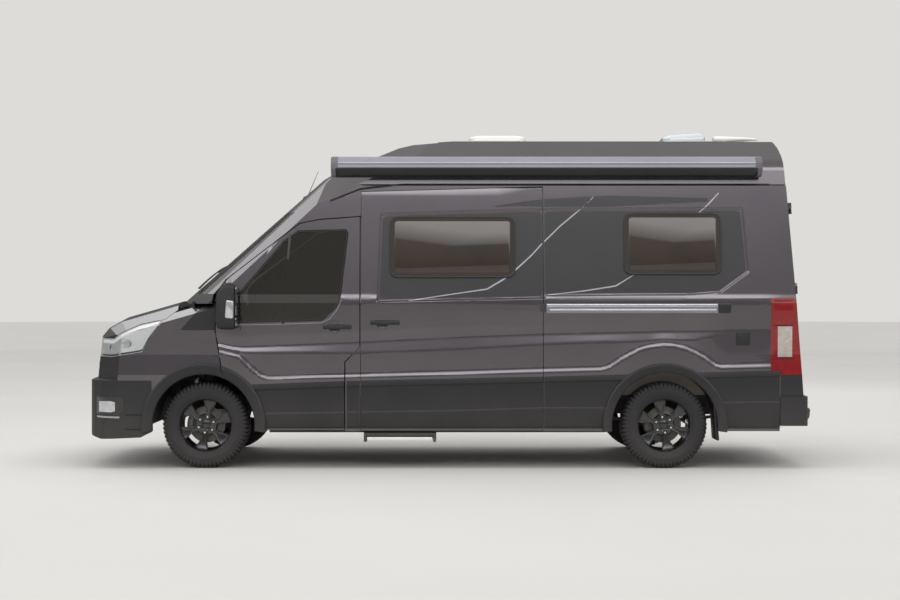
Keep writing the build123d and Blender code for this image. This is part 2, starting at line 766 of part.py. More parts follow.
# Floor pan with its sills, rails and cross members
rail_y = (420.0, 500.0)
rail_z = (430.0, floor_low + 2)
sill_y = (850.0, 928.0)
sill_height = (290.0, floor_low + 2)
sill_ends = (-(wheelbase - 490.0), -520.0)
rail_ends = (-(wheelbase + 1130.0), 930.0)
cross_members = [-1100.0, -2350.0, -(wheelbase - 500.0), -(wheelbase + 650.0)]
floor_back = -(wheelbase + 1150.0)
floor_form = cab_envelope(wall + seat_gap)
with BuildPart() as floor_pan:
    add(floor_form)
    add(box_at((floor_back, bulkhead[0] - seat_gap), (-reach, reach), (floor_low, floor_top)),
        mode=Mode.INTERSECT)
    door_cut = box_at((slide_back - 38, 200), (sill_y[1] + 17, reach), (0, 900))
    bumper_cut = box_at((floor_back - 100, bumper_seam + 10), (rear_door_edge + 10, reach), (0, 900))
    add([*both_sides(door_cut), *both_sides(bumper_cut)], mode=Mode.SUBTRACT)
    for y, z, x in ((sill_y, sill_height, sill_ends), (rail_y, rail_z, rail_ends)):
        add(both_sides(box_at(x, y, z)))
    for x in cross_members:
        add(box_at((x - 40, x + 40), (-rail_y[0] - 5, rail_y[0] + 5), (480, floor_low + 2)))
    for x in cross_members[:2]:
        add(box_at((x - 40, x + 40), (-sill_y[0] - 5, sill_y[0] + 5), (500, floor_low + 2)))
    liner_cuts = [(0, liner_outer, front_liner_y[0]), (-wheelbase, rear_arch + 16, rear_liner_y[0])]
    for x, radius, inner in liner_cuts:
        cut = tube_y(x, tyre_radius, radius + seat_gap, inner - seat_gap, reach)
        add(both_sides(cut), mode=Mode.SUBTRACT)
write(floor_pan.part, "floor_pan")


# Wheels: turned about their own axle line, then placed
tyre_half = tyre_width / 2
bead_half = rim_width / 2


def turned(profile, plane_y, x):
    """A profile of radius and distance outward from the wheel's middle, turned about its axle."""
    with BuildPart() as body:
        with BuildSketch(Plane.XY) as outline:
            with BuildLine():
                Polyline(*profile, close=True)
            make_face()
        revolve(axis=Axis.Y)
    return body.part.locate(Location((front_axle_x + x, plane_y, tyre_radius)))


tyre_profile = [
    (rim_radius + seat_gap, -bead_half - 4), (296, -tyre_half), (tyre_radius, -tyre_half + 32),
    (tyre_radius, tyre_half - 32), (296, tyre_half), (rim_radius + seat_gap, bead_half + 4),
]
barrel_profile = [
    (rim_radius, -bead_half), (rim_radius, bead_half), (rim_radius - 10, bead_half),
    (rim_radius - 22, bead_half - 20), (rim_radius - 22, -bead_half),
]
spoke_face = 62.0
spoke_back = 30.0
disc_inner = 14.0
disc_thickness = 12.0


def rim(plane_y, x, phase):
    """A rim with flared spokes, nuts, hub and brake disc, on the left side."""
    with BuildPart() as wheel:
        with BuildSketch(Plane.XY):
            with BuildLine():
                Polyline(*barrel_profile, close=True)
            make_face()
        revolve(axis=Axis.Y)
        with BuildSketch(Plane.XZ.offset(-spoke_back)):
            Circle(hub_radius)
            with PolarLocations(0, spoke_count, phase):
                with BuildLine(mode=Mode.ADD):
                    Polyline((60, -26), (140, -24), (rim_radius - 21, -58), (rim_radius - 21, 58),
                             (140, 24), (60, 26), close=True)
                make_face()
        extrude(amount=spoke_back - spoke_face)
        with BuildSketch(Plane.XZ.offset(-spoke_face)):
            with PolarLocations(nut_circle, spoke_count, phase):
                Circle(11)
        extrude(amount=-14)
        with BuildSketch(Plane.XZ.offset(-spoke_face)):
            Circle(32)
        extrude(amount=-10)
        with BuildSketch(Plane.XZ.offset(-disc_inner)):
            Circle(disc_radius)
        extrude(amount=-disc_thickness)
        with BuildSketch(Plane.XZ.offset(-disc_inner)):
            Circle(70)
        extrude(amount=disc_inner - spoke_back)
    return wheel.part.locate(Location((front_axle_x + x, plane_y, tyre_radius)))


wheel_rows = [("front", front_plane_y, 0.0, -10.0), ("rear", rear_plane_y, -wheelbase, 10.0)]
for name, plane_y, x, phase in wheel_rows:
    tyre = turned(tyre_profile, plane_y, x)
    wheel = rim(plane_y, x, phase)
    for side, solid in zip(("left", "right"), both_sides(tyre)):
        write(solid, f"tyre_{name}_{side}")
    for side, solid in zip(("left", "right"), both_sides(wheel)):
        write(solid, f"rim_{name}_{side}")

# Front knuckles: hub carrier, arm to the ball joint, and the strut on the steering axis
strut_length = 545.0
strut_dir = Vector(0, -strut_lean, 1).normalized()
ball_joint = Vector(front_axle_x, ball_joint_y, ball_joint_z)
ball_joint_radius = 24.0
ball_joint_drop = 14.0
disc_inner_y = front_plane_y + disc_inner
with BuildPart() as knuckle:
    add(tube_y(0, tyre_radius, 62, 760, disc_inner_y - run_gap))
    with BuildSketch(Plane(origin=ball_joint - strut_dir * ball_joint_drop, z_dir=strut_dir)):
        Circle(ball_joint_radius)
    extrude(amount=strut_length)
    with BuildSketch(Plane(origin=ball_joint + strut_dir * 455, z_dir=strut_dir)):
        Circle(58)
    extrude(amount=70, taper=4)
    with BuildSketch(Plane.XZ.offset(-(disc_inner_y - 60))):
        with Locations((front_axle_x - 112, tyre_radius + 60)):
            Rectangle(70, 130)
        with Locations((front_axle_x - 60, tyre_radius + 30)):
            Rectangle(110, 50)
    extrude(amount=-54)
for side, solid in zip(("left", "right"), both_sides(knuckle.part)):
    write(solid, f"knuckle_{side}")

# Subframe across the front with the lower arms
with BuildPart() as front_subframe:
    add(box_at((-190, 130), (-430, 430), (300, 360)))
    for side in (1, -1):
        add(box_at((-180, 120), sorted((side * 425, side * 500)), (300, rail_z[0] - seat_gap)))
    with BuildSketch(Plane.XY.offset(228)) as arm:
        for side in (1, -1):
            with BuildLine(mode=Mode.ADD):
                Polyline(*at([(34, side * ball_joint_y), (-34, side * ball_joint_y), (-170, side * 400),
                              (-170, side * 330), (100, side * 330)]), close=True)
            make_face()
            with Locations((front_axle_x, side * ball_joint_y)):
                Circle(ball_joint_radius + 16)
    extrude(amount=30)
    add(box_at((-170, 100), (-420, 420), (250, 310)))
    with BuildPart(mode=Mode.PRIVATE) as joint_bore:
        with BuildSketch(Plane(origin=ball_joint - strut_dir * 60, z_dir=strut_dir)):
            Circle(ball_joint_radius + run_gap)
        extrude(amount=120)
    add(both_sides(joint_bore.part), mode=Mode.SUBTRACT)
write(front_subframe.part, "front_subframe")

# Rear beam axle with its leaf springs and dampers
beam_z = 300.0
leaf_y = (428.0, 492.0)
leaf_rise = 66.0
leaf_half = 640.0
with BuildPart() as rear_axle:
    add(tube_y(-wheelbase, beam_z, 42, -790, 790))
    for side in (1, -1):
        inner, outer = sorted((side * 770, side * (rear_plane_y + disc_inner - run_gap)))
        add(tube_y(-wheelbase, tyre_radius, 60, inner, outer))
        add(box_at((-wheelbase - 45, -wheelbase + 45), sorted((side * 765, side * 792)),
                   (beam_z - 40, tyre_radius + 40)))
        with BuildSketch(Plane.XZ.offset(-side * (leaf_y[0] + leaf_y[1]) / 2)):
            with BuildLine():
                low = ThreePointArc(*at([(-wheelbase - leaf_half, beam_z + 40 + leaf_rise),
                                         (-wheelbase, beam_z + 40),
                                         (-wheelbase + leaf_half, beam_z + 40 + leaf_rise)]))
                high = ThreePointArc(*at([(-wheelbase - leaf_half, beam_z + 56 + leaf_rise),
                                          (-wheelbase, beam_z + 66),
                                          (-wheelbase + leaf_half, beam_z + 56 + leaf_rise)]))
                Line(low @ 0, high @ 0)
                Line(low @ 1, high @ 1)
            make_face()
        extrude(amount=(leaf_y[1] - leaf_y[0]) / 2, both=True)
        add(box_at((-wheelbase - 50, -wheelbase + 50), sorted((side * leaf_y[0], side * leaf_y[1])),
                   (beam_z, beam_z + 50)))
    for end in (-leaf_half + 10, leaf_half - 10):
        for side in (1, -1):
            inner, outer = sorted((side * leaf_y[0], side * leaf_y[1]))
            add(box_at((-wheelbase + end - 22, -wheelbase + end + 22), (inner, outer),
                       (beam_z + 40 + leaf_rise - 12, rail_z[0] - seat_gap)))
write(rear_axle.part, "rear_axle")

# Engine block on the front rails
engine_x = (300.0, 800.0)
with BuildPart() as engine_block:
    add(box_at(engine_x, (-380, 380), (380, 1040)))
    fillet(engine_block.edges().filter_by(Axis.Y), 40)
    add(box_at((450, 650), (-rail_y[1], rail_y[1]), (rail_z[1] + seat_gap, rail_z[1] + 60)))
write(engine_block.part, "engine_block")

# Exhaust and the tanks under the floor
exhaust_y = -250.0
exhaust_z = 470.0
with BuildPart() as exhaust:
    with BuildSketch(Plane.YZ.offset(front_axle_x + 200)):
        with Locations((exhaust_y, 420)):
            Circle(32)
    extrude(amount=-900)
    with BuildSketch(Plane.YZ.offset(front_axle_x - 680)):
        with Locations((exhaust_y, 412)):
            RectangleRounded(300, 120, 55)
    extrude(amount=-620)
    with BuildSketch(Plane.YZ.offset(front_axle_x - 1290)):
        with Locations((exhaust_y - 60, 420)):
            Circle(32)
    extrude(amount=-1500)
    add(box_at((-1010, -980), (exhaust_y - 20, exhaust_y + 20), (470, floor_low - seat_gap)))
    add(box_at((-2700, -2670), (exhaust_y - 80, exhaust_y - 40), (440, floor_low - seat_gap)))
write(exhaust.part, "exhaust")

with BuildPart() as tanks:
    for x, y, z in (((-2240, -1250), (-60, 400), (290, 554)), ((-3180, -2440), (20, 400), (280, 554))):
        add(box_at(x, y, (z[0], floor_low - seat_gap), 60))
write(tanks.part, "tanks")

# Dashboard, seats and living furniture seen through the glass
dash_outline = [(bulkhead[0] - seat_gap, 810), (bulkhead[0] - seat_gap, 1290), (-150, 1300),
                (-330, 1190), (-365, 1040), (-300, 900), (-190, 810)]
wheel_angle = 62.0
column_foot = Vector(front_axle_x - 352, -380, 1075)
column_dir = Vector(-sin(radians(wheel_angle)), 0, cos(radians(wheel_angle)))
column_length = 120.0
column_radius = 28.0
with BuildPart() as dashboard:
    add(side_block(dash_outline, -820, 820))
    fillet(dashboard.edges().filter_by(Axis.Y).sort_by(Axis.X)[:2], 40)
    with BuildSketch(Plane(origin=column_foot, x_dir=(0, 1, 0), z_dir=column_dir)):
        Circle(column_radius + run_gap)
    extrude(amount=60, both=True, mode=Mode.SUBTRACT)
write(dashboard.part, "dashboard")

with BuildPart() as steering_wheel:
    foot = Plane(origin=column_foot + column_dir * 6, x_dir=(0, 1, 0), z_dir=column_dir)
    with BuildSketch(foot):
        Circle(column_radius)
    extrude(amount=column_length)
    ring_plane = foot.offset(column_length - 10)
    with BuildSketch(ring_plane) as ring:
        Circle(192)
        Circle(164, mode=Mode.SUBTRACT)
        with PolarLocations(0, 3, 90):
            with Locations((90, 0)):
                Rectangle(170, 42)
        Circle(62)
    extrude(amount=26)
write(steering_wheel.part, "steering_wheel")

seat_centre = 430.0
seat_half = 240.0
with BuildPart() as cab_seats:
    for side in (1, -1):
        for outline, half, corner in (
            ([(-640, 930), (-650, 1050), (-1040, 1030), (-1190, 1500), (-1270, 1510), (-1290, 1440),
              (-1150, 930)], seat_half, 25),
            ([(-1195, 1520), (-1215, 1700), (-1290, 1705), (-1275, 1520)], 130, 25),
            ([(-720, floor_top + seat_gap), (-720, 940), (-1100, 940), (-1100, floor_top + seat_gap)],
             seat_half - 50, 15),
            ([(-1215, 1490), (-1225, 1540), (-1250, 1540), (-1245, 1490)], 60, 0)):
            add(side_block(outline, side * seat_centre - half, side * seat_centre + half, corner))
write(cab_seats.part, "cab_seats")

with BuildPart() as furniture:
    add(inner_form & box_at((-3150, -1990), (-1000, -420), (floor_top + seat_gap, 1500)))
    bench = box_at((-(wheelbase + 910), -(wheelbase - 450)), (-1000, 1000), (floor_top + seat_gap, 1020))
    add(inner_form & bench)
    for side in (1, -1):
        cut = tube_y(-wheelbase, tyre_radius, rear_arch + 17, side * (rear_liner_y[0] - 2), side * reach)
        add(cut, mode=Mode.SUBTRACT)
write(furniture.part, "furniture")

# Awning cassette on the left roof edge
awning_x = (-(wheelbase + 795.0), -1030.0)
awning_section = [(905, 2412), (905, 2545), (950, 2550), (1010, 2540), (1040, 2495), (1040, 2440),
                  (1000, 2392), (945, 2375)]
awning_cap = 70.0
with BuildPart() as awning_case:
    with BuildSketch(Plane.YZ.offset(front_axle_x + awning_x[0])) as outline:
        with BuildLine():
            Polyline(*awning_section, close=True)
        make_face()
        fillet(outline.vertices(), 14)
    extrude(amount=awning_x[1] - awning_x[0])
    for x in (-1600, -2300, -(wheelbase - 650), -(wheelbase + 50), -(wheelbase + 650)):
        add(box_at((x - 45, x + 45), (860, 920), (2425, 2505)) - cab_outer)
write(awning_case.part, "awning_case")

# Rooflights and the television aerial
with BuildPart() as roof_vents:
    for outline, half in (([(-2155, 2690), (-2155, 2770), (-2190, 2800), (-2640, 2800), (-2668, 2775),
                            (-2668, 2690)], 250),
                          ([(x - wheelbase, z) for x, z in
                            [(-88, 2690), (-88, 2790), (-150, 2815), (-430, 2836), (-482, 2800),
                             (-482, 2690)]], 190)):
        add(side_block(outline, -half, half))
    add(cab_outer, mode=Mode.SUBTRACT)
write(roof_vents.part, "roof_vents")

aerial_y = -480.0
aerial_x = -(wheelbase + 706.0)
mast_foot = crown_z - 84.0
mast_top = crown_z + 44.0
with BuildPart() as aerial_base:
    with BuildSketch(Plane.XY.offset(mast_foot)):
        with Locations((front_axle_x + aerial_x, aerial_y)):
            Circle(60)
    extrude(amount=mast_top - mast_foot)
    add(cab_outer, mode=Mode.SUBTRACT)
write(aerial_base.part, "aerial_base")
with BuildPart() as tv_aerial:
    with BuildSketch(Plane.XZ.offset(-(aerial_y + 70))) as outline:
        with BuildLine():
            Polyline(*at([(aerial_x + x, mast_top + z) for x, z in
                          [(75, 22), (71, 67), (36, 84), (-104, 80), (-341, 60), (-341, 48),
                           (-144, 18), (36, 6)]]), close=True)
        make_face()
        fillet(outline.vertices(), 5)
    extrude(amount=140)
    with BuildSketch(Plane.XY.offset(mast_top + seat_gap)):
        with Locations((front_axle_x + aerial_x, aerial_y)):
            Circle(40)
    extrude(amount=20)
write(tv_aerial.part, "tv_aerial")

# Entrance step that slides out under the sliding door
step_x = (-1885.0, -1295.0)
with BuildPart() as step_housing:
    add(box_at(step_x, (640, 975), (264, 290 - seat_gap)))
    add(box_at((step_x[0], step_x[0] + 22), (640, 975), (215, 290 - seat_gap)))
    add(box_at((step_x[1] - 22, step_x[1]), (640, 975), (215, 290 - seat_gap)))
write(step_housing.part, "step_housing")
with BuildPart() as entry_step:
    add(box_at((step_x[0] + 27.5, step_x[1] - 27.5), (690, 995), (224, 258)))
    fillet(entry_step.edges().filter_by(Axis.X).sort_by(Axis.Y)[-2:], 8)
    add(box_at((step_x[0] + 22 + run_gap, step_x[1] - 22 - run_gap), (700, 940), (236, 248)))
write(entry_step.part, "entry_step")

# Tow bar under the rear rails
tow_beam = (-(wheelbase + 1125.0), -(wheelbase + 1050.0))
ball_radius = 25.0
ball_centre = (bumper_back - ball_overhang + ball_radius, 405.0)
with BuildPart() as tow_bar:
    add(box_at(tow_beam, (-500, 500), (rail_z[0] - 70, rail_z[0] - seat_gap)))
    with BuildLine() as neck:
        FilletPolyline(*[(x, 0, z) for x, z in at([(tow_beam[0] + 40, 390), (bumper_back - 60, 330),
                                                   (ball_centre[0], 330),
                                                   (ball_centre[0], ball_centre[1] - 10)])],
                       radius=40)
    with BuildSketch(Plane(origin=neck.line @ 0, z_dir=neck.line % 0)):
        Circle(21)
    sweep(path=neck.line)
    with Locations((front_axle_x + ball_centre[0], 0, ball_centre[1])):
        Sphere(ball_radius)
write(tow_bar.part, "tow_bar")

# Sliding door rail on the left rear quarter
with BuildPart() as slide_rail:
    add(box_at(rail_band, (900, rail_face_y), rail_height))
    add(section_prism(0), mode=Mode.SUBTRACT)
write(slide_rail.part, "slide_rail")
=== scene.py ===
"""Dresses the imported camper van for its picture: finishes, glazing, wheels, trim and stage.

Blender works in metres in the van's frame: +X forward, +Y to its left, +Z up, and the origin on
the ground midway along and across. Tables are in millimetres as u, y and z, with u running forward
from the front axle, y to the left and z up from the ground.
"""

import json
import logging
import math
from collections.abc import Callable, Iterator, Sequence
from contextlib import contextmanager
from dataclasses import dataclass
from enum import Enum

import bpy
import numpy as np
from mathutils import Matrix, Vector
from mathutils.bvhtree import BVHTree


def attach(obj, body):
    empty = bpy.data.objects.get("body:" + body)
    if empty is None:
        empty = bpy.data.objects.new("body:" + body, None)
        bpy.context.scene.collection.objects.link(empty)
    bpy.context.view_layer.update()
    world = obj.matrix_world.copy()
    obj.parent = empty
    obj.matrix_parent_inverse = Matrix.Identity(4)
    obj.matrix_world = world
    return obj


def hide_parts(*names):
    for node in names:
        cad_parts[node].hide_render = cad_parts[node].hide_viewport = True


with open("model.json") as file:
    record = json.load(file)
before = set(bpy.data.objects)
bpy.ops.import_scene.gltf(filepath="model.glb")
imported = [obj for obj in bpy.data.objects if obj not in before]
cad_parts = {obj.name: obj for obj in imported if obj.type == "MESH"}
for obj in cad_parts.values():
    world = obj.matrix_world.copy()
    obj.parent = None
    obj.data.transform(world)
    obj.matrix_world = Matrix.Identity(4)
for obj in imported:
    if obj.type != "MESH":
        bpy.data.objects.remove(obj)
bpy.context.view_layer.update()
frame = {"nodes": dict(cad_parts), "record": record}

LOG = logging.getLogger("camper")
MM = 0.001
FRONT_AXLE = 2.070
WELD = 0.00002  # metres within which two points are one
ALONG, OUT, UP = Vector((1, 0, 0)), Vector((0, 1, 0)), Vector((0, 0, 1))
Piece = bpy.types.Object
Point = tuple[float, float]
Line = tuple[Point, ...]
Quad = tuple[float, float, float, float]
Socket, Tree = bpy.types.NodeSocket, bpy.types.NodeTree


class Slot(Enum):
    """The record's material slots."""

    PAINT = "paint"
    UNDERBODY = "underbody"
    BLACK = "black_plastic"
    LAMP = "lamp_lens"
    RED = "red_lens"
    CAB_GLASS = "cab_glass"
    WINDOW = "tinted_window"
    TYRE = "tyre"
    RIM = "rim"
    STEEL = "steel"
    INSIDE = "interior_plastic"
    CLOTH = "seat_cloth"
    BOARD = "furniture_board"
    ANODISED = "anodised"
    WHITE = "white_plastic"


class Body(Enum):
    """The CAD bodies that new pieces ride."""

    ROOT = "root"
    CAB_DOOR = "cab_door_left"
    CAB_DOOR_RIGHT = "cab_door_right"
    REAR_DOOR = "rear_door_left"
    REAR_DOOR_RIGHT = "rear_door_right"
    STEP = "entry_step"
    AERIAL = "tv_aerial"
    KNUCKLE = "knuckle_left"
    KNUCKLE_RIGHT = "knuckle_right"
    WHEEL_FRONT = "wheel_front_left"
    WHEEL_FRONT_RIGHT = "wheel_front_right"
    WHEEL_REAR = "wheel_rear_left"
    WHEEL_REAR_RIGHT = "wheel_rear_right"

    @property
    def right(self) -> "Body":
        """Give the right-hand body of the pair, or the body itself."""
        return Body(self.value.replace("_left", "_right"))


class Side(Enum):
    """The van's two sides, as the sign of y."""

    LEFT = 1
    RIGHT = -1


def at(u: float, y: float, z: float) -> Vector:
    """Give the point at u, y and z, in millimetres from the front axle."""
    return Vector((FRONT_AXLE + u * MM, y * MM, z * MM))


def linear(code: str) -> Quad:
    """Turn an sRGB hex colour to Blender's linear values.

    Args:
        code: Six hex digits, with or without a leading hash.

    Returns:
        Linear red, green and blue, and a fourth value of 1.
    """
    digits = code.lstrip("#")
    parts = [int(digits[i:i + 2], 16) / 255 for i in (0, 2, 4)]
    red, green, blue = [c / 12.92 if c <= 0.04045 else ((c + 0.055) / 1.055) ** 2.4 for c in parts]
    return red, green, blue, 1.0


def add_node(tree: Tree, kind: str, settings: dict | None = None,
             **inputs: object) -> bpy.types.Node:
    """Add a shader node with its settings, values and links.

    Args:
        tree: The node tree to add to.
        kind: The node's type name.
        settings: Attributes of the node.
        **inputs: Values or output sockets for its inputs; a name's underscores are spaces and
            a name like in_0 picks an input by its number.

    Returns:
        The new node.
    """
    node = tree.nodes.new(kind)
    for key, value in (settings or {}).items():
        setattr(node, key, value)
    for key, value in inputs.items():
        name = key.replace("_", " ")
        socket = node.inputs[int(key[3:])] if key.startswith("in_") else node.inputs[name]
        if isinstance(value, Socket):
            tree.links.new(value, socket)
        else:
            socket.default_value = value
    return node


def new_material(name: str) -> tuple[bpy.types.Material, Tree, bpy.types.Node]:
    """Make an empty node material.

    Args:
        name: The material's name.

    Returns:
        The material, its tree and its surface output node.
    """
    material = bpy.data.materials.new(name)
    material.use_nodes = True
    tree = material.node_tree
    tree.nodes.clear()
    return material, tree, tree.nodes.new("ShaderNodeOutputMaterial")


@dataclass(frozen=True)
class Finish:
    """A solid surface: a base colour with slow variation, a grain in its bump and a clear coat.

    The grain's size and the patch size are real sizes in millimetres. Road dust gathers low
    down, so the colour mixes towards DUST below dust_top, a height in metres.
    """

    name: str
    colour: str
    second: str
    slot: Slot
    metallic: float = 0.0
    roughness: float = 0.5
    coat: float = 0.0
    coat_roughness: float = 0.05
    ior: float = 1.5
    grain_mm: float = 2.0
    grain_depth: float = 0.0
    patch_mm: float = 400.0
    dust: float = 0.0
    dust_top: float = 0.7

    def soil(self, tree: Tree, where: Socket, inputs: tuple[Socket, ...]) -> tuple[Socket, ...]:
        """Mix dust into the colour and the roughness, most of it low down.

        Args:
            tree: The material's tree.
            where: The Object coordinates.
            inputs: The patches, the colour and the roughness.

        Returns:
            The dusty colour and roughness.
        """
        patches, colour, rough = inputs
        height = add_node(tree, "ShaderNodeSeparateXYZ", Vector=where).outputs["Z"]
        low = add_node(tree, "ShaderNodeMapRange", Value=height, From_Min=0.15,
                       From_Max=self.dust_top, To_Min=self.dust, To_Max=0.0).outputs["Result"]
        speck = add_node(tree, "ShaderNodeMath", {"operation": "MULTIPLY"}, in_0=low,
                         in_1=patches).outputs[0]
        colour = add_node(tree, "ShaderNodeMix", {"data_type": "RGBA"}, Factor=speck,
                          in_6=colour, in_7=linear(DUST)).outputs[2]
        rough = add_node(tree, "ShaderNodeMix", {"data_type": "FLOAT"}, Factor=speck, in_2=rough,
                         in_3=DUST_ROUGHNESS).outputs[0]
        return colour, rough

    def build(self) -> bpy.types.Material:
        """Make the material.

        Returns:
            The finished node material.
        """
        material, tree, out = new_material(self.name)
        where = add_node(tree, "ShaderNodeTexCoord").outputs["Object"]
        patches = add_node(tree, "ShaderNodeTexNoise", Vector=where, Scale=1000 / self.patch_mm,
                           Detail=3.0, Roughness=0.5).outputs["Fac"]
        grain = add_node(tree, "ShaderNodeTexNoise", Vector=where, Scale=1000 / self.grain_mm,
                         Detail=2.0, Roughness=0.6).outputs["Fac"]
        spread = add_node(tree, "ShaderNodeMapRange", Value=patches, From_Min=0.3, From_Max=0.7)
        colour = add_node(tree, "ShaderNodeMix", {"data_type": "RGBA"},
                          Factor=spread.outputs["Result"], in_6=linear(self.colour),
                          in_7=linear(self.second)).outputs[2]
        rough = add_node(tree, "ShaderNodeMapRange", Value=grain, From_Min=0.35, From_Max=0.65,
                         To_Min=self.roughness * 0.9,
                         To_Max=min(1.0, self.roughness * 1.1)).outputs["Result"]
        if self.dust:
            colour, rough = self.soil(tree, where, (patches, colour, rough))
        shader = add_node(tree, "ShaderNodeBsdfPrincipled", Base_Color=colour, Roughness=rough,
                          Metallic=self.metallic, IOR=self.ior, Coat_Weight=self.coat,
                          Coat_Roughness=self.coat_roughness)
        if self.grain_depth:
            bump = add_node(tree, "ShaderNodeBump", Height=grain, Strength=self.grain_depth,
                            Distance=self.grain_mm * MM * 0.5)
            tree.links.new(bump.outputs["Normal"], shader.inputs["Normal"])
        tree.links.new(shader.outputs["BSDF"], out.inputs["Surface"])
        return material


@dataclass(frozen=True)
class Pane:
    """A clear or tinted pane: see-through with a mirror-like face."""

    name: str
    tint: str
    slot: Slot
    cover: float
    roughness: float = 0.02
    ior: float = 1.5

    def build(self) -> bpy.types.Material:
        """Make the material.

        Returns:
            The finished node material.
        """
        material, tree, out = new_material(self.name)
        where = add_node(tree, "ShaderNodeTexCoord").outputs["Object"]
        ripple = add_node(tree, "ShaderNodeTexNoise", Vector=where, Scale=3.0, Detail=1.0)
        rough = add_node(tree, "ShaderNodeMapRange", Value=ripple.outputs["Fac"],
                         To_Min=self.roughness, To_Max=self.roughness * 2).outputs["Result"]
        shader = add_node(tree, "ShaderNodeBsdfPrincipled", Base_Color=linear(self.tint),
                          Roughness=rough, IOR=self.ior, Alpha=self.cover)
        tree.links.new(shader.outputs["BSDF"], out.inputs["Surface"])
        return material


DUST = "#7d7069"  # dried road dust, pale brown
DUST_ROUGHNESS = 0.85
# Metallic lacquer, sprayed: fine flakes scatter the highlight under a deep clear coat
PAINT = Finish("dark_grey_metallic_lacquer", "#5a555a", "#5e595e", Slot.PAINT, 0.85, 0.24, 1.0,
               0.03, grain_mm=4.0, grain_depth=0.02, dust=0.15)
# Polypropylene, moulded with a leather grain: dull, its highlights broken up
PLASTIC = Finish("grained_black_polypropylene", "#141416", "#19181b", Slot.BLACK, grain_mm=3.0,
                 grain_depth=0.2, dust=0.2)
# Wax, sprayed and left to run: matt, lumpy and dusty
UNDERBODY = Finish("sprayed_underbody_wax", "#1b1b1c", "#242325", Slot.UNDERBODY, roughness=0.75,
                   grain_mm=6.0, grain_depth=0.3, dust=0.6)
# Safety glass, floated and tinted in the melt: green-brown and mirror smooth; its dark colour and
# high cover are painted shade of the cab behind
CAB_GLASS = Pane("green_tinted_safety_glass", "#292621", Slot.CAB_GLASS, 0.82)
# Acrylic, cast and smoked: deep brown under a faint gloss
TINTED = Finish("smoked_acrylic", "#352d28", "#40362f", Slot.WINDOW, roughness=0.03, coat=0.3,
                coat_roughness=0.02, ior=1.49, patch_mm=500.0)
# Rubber, vulcanised in a mould: matt black with a little dust low down
TYRE = Finish("tread_rubber", "#161518", "#1e1d20", Slot.TYRE, roughness=0.7, grain_mm=1.5,
              grain_depth=0.2, dust=0.15)
# Enamel, sprayed on a cast wheel and stoved: black with sharp glints
RIM = Finish("gloss_black_enamel", "#0b0b0d", "#131316", Slot.RIM, roughness=0.25, coat=1.0)
# Chassis enamel, dipped: dull black, rough with road dirt
STEEL = Finish("dull_black_chassis_enamel", "#262628", "#34322f", Slot.STEEL, roughness=0.6,
               grain_mm=3.0, grain_depth=0.15, dust=0.5)
# Soft-touch trim, moulded with a fine grain: flat and even
CABIN_PLASTIC = Finish("soft_black_cabin_trim", "#1b1b1d", "#232326", Slot.INSIDE, roughness=0.6,
                       grain_mm=1.5, grain_depth=0.15)
# Seat cloth, woven: coarse and without a highlight; the weave is drawn at 1.2 mm so that it shows
SEAT_CLOTH = Finish("woven_seat_cloth", "#38373a", "#444246", Slot.CLOTH, roughness=0.9,
                    grain_mm=1.2, grain_depth=0.5)
# Birch board, pressed with a melamine face: warm grey with a satin face
BOARD = Finish("laminated_board", "#8d8272", "#9a8f7f", Slot.BOARD, roughness=0.45, grain_mm=8.0)
# Aluminium, extruded and anodised: a satin metal
ANODISED = Finish("anodised_aluminium", "#8b8a94", "#93929c", Slot.ANODISED, 0.9, 0.35,
                  grain_depth=0.05)
# ABS, moulded: white with a thin gloss
WHITE = Finish("white_moulded_abs", "#dcdcd8", "#e4e4e0", Slot.WHITE, roughness=0.35, coat=0.3)
# Polycarbonate, moulded clear: a bright skin that the reflector shows through
LAMP = Pane("clear_polycarbonate_lens", "#e8ecec", Slot.LAMP, 0.35)
# Cast iron, machined and wiped by the pads: dull grey rings
BRAKE = Finish("machined_cast_iron", "#5f5c59", "#4f4c49", Slot.STEEL, 0.9, 0.45, grain_mm=3.0,
               grain_depth=0.1)
# Steel, forged and zinc-plated: bright with a soft edge to its glints
NUT = Finish("zinc_plated_steel", "#d8d6d2", "#c9c6c1", Slot.STEEL, 1.0, 0.22)
# Reflector, moulded and vapour-coated: mirror bright
CHROME = Finish("aluminised_reflector", "#d9dadc", "#c6c7ca", Slot.LAMP, 1.0, 0.12)
# Chrome, plated dark: a smoky mirror
DARK_CHROME = Finish("smoked_chrome", "#6d6e72", "#5f6064", Slot.LAMP, 1.0, 0.15, 0.5)
# Aluminium strip, bright-dipped and anodised: a clean silver line
SILVER_TRIM = Finish("bright_anodised_strip", "#c9c9ce", "#bdbdc3", Slot.ANODISED, 1.0, 0.24)
# Aluminium, extruded and powder-coated: silver grey with a soft band of light
AWNING_GREY = Finish("powder_coated_aluminium", "#9a99a3", "#a09fa9", Slot.ANODISED, 0.7, 0.4,
                     grain_depth=0.05)
# ASA, moulded with a spark finish: flat mid grey
CAP_GREY = Finish("moulded_grey_asa", "#5d5c63", "#64636a", Slot.ANODISED, roughness=0.45,
                  grain_depth=0.08)
# Polycarbonate lens, moulded over a plated reflector: pale and glinting
CLEAR_LENS = Finish("clear_lens_over_reflector", "#b9bcc0", "#cfd2d4", Slot.LAMP, 0.6, 0.12, 1.0,
                    patch_mm=40.0)
# Acrylic, moulded with ribs: pale grey, with a painted pink reflection of the red around it
REVERSE_LENS = Finish("clear_ribbed_lens", "#b8aaa6", "#d0c3be", Slot.RED, 0.4, 0.15, 1.0,
                      patch_mm=30.0)
# Glass, silvered on its back: a plain mirror
MIRROR = Finish("silvered_mirror_glass", "#c4c8cc", "#cacdd0", Slot.CAB_GLASS, 1.0, 0.03)
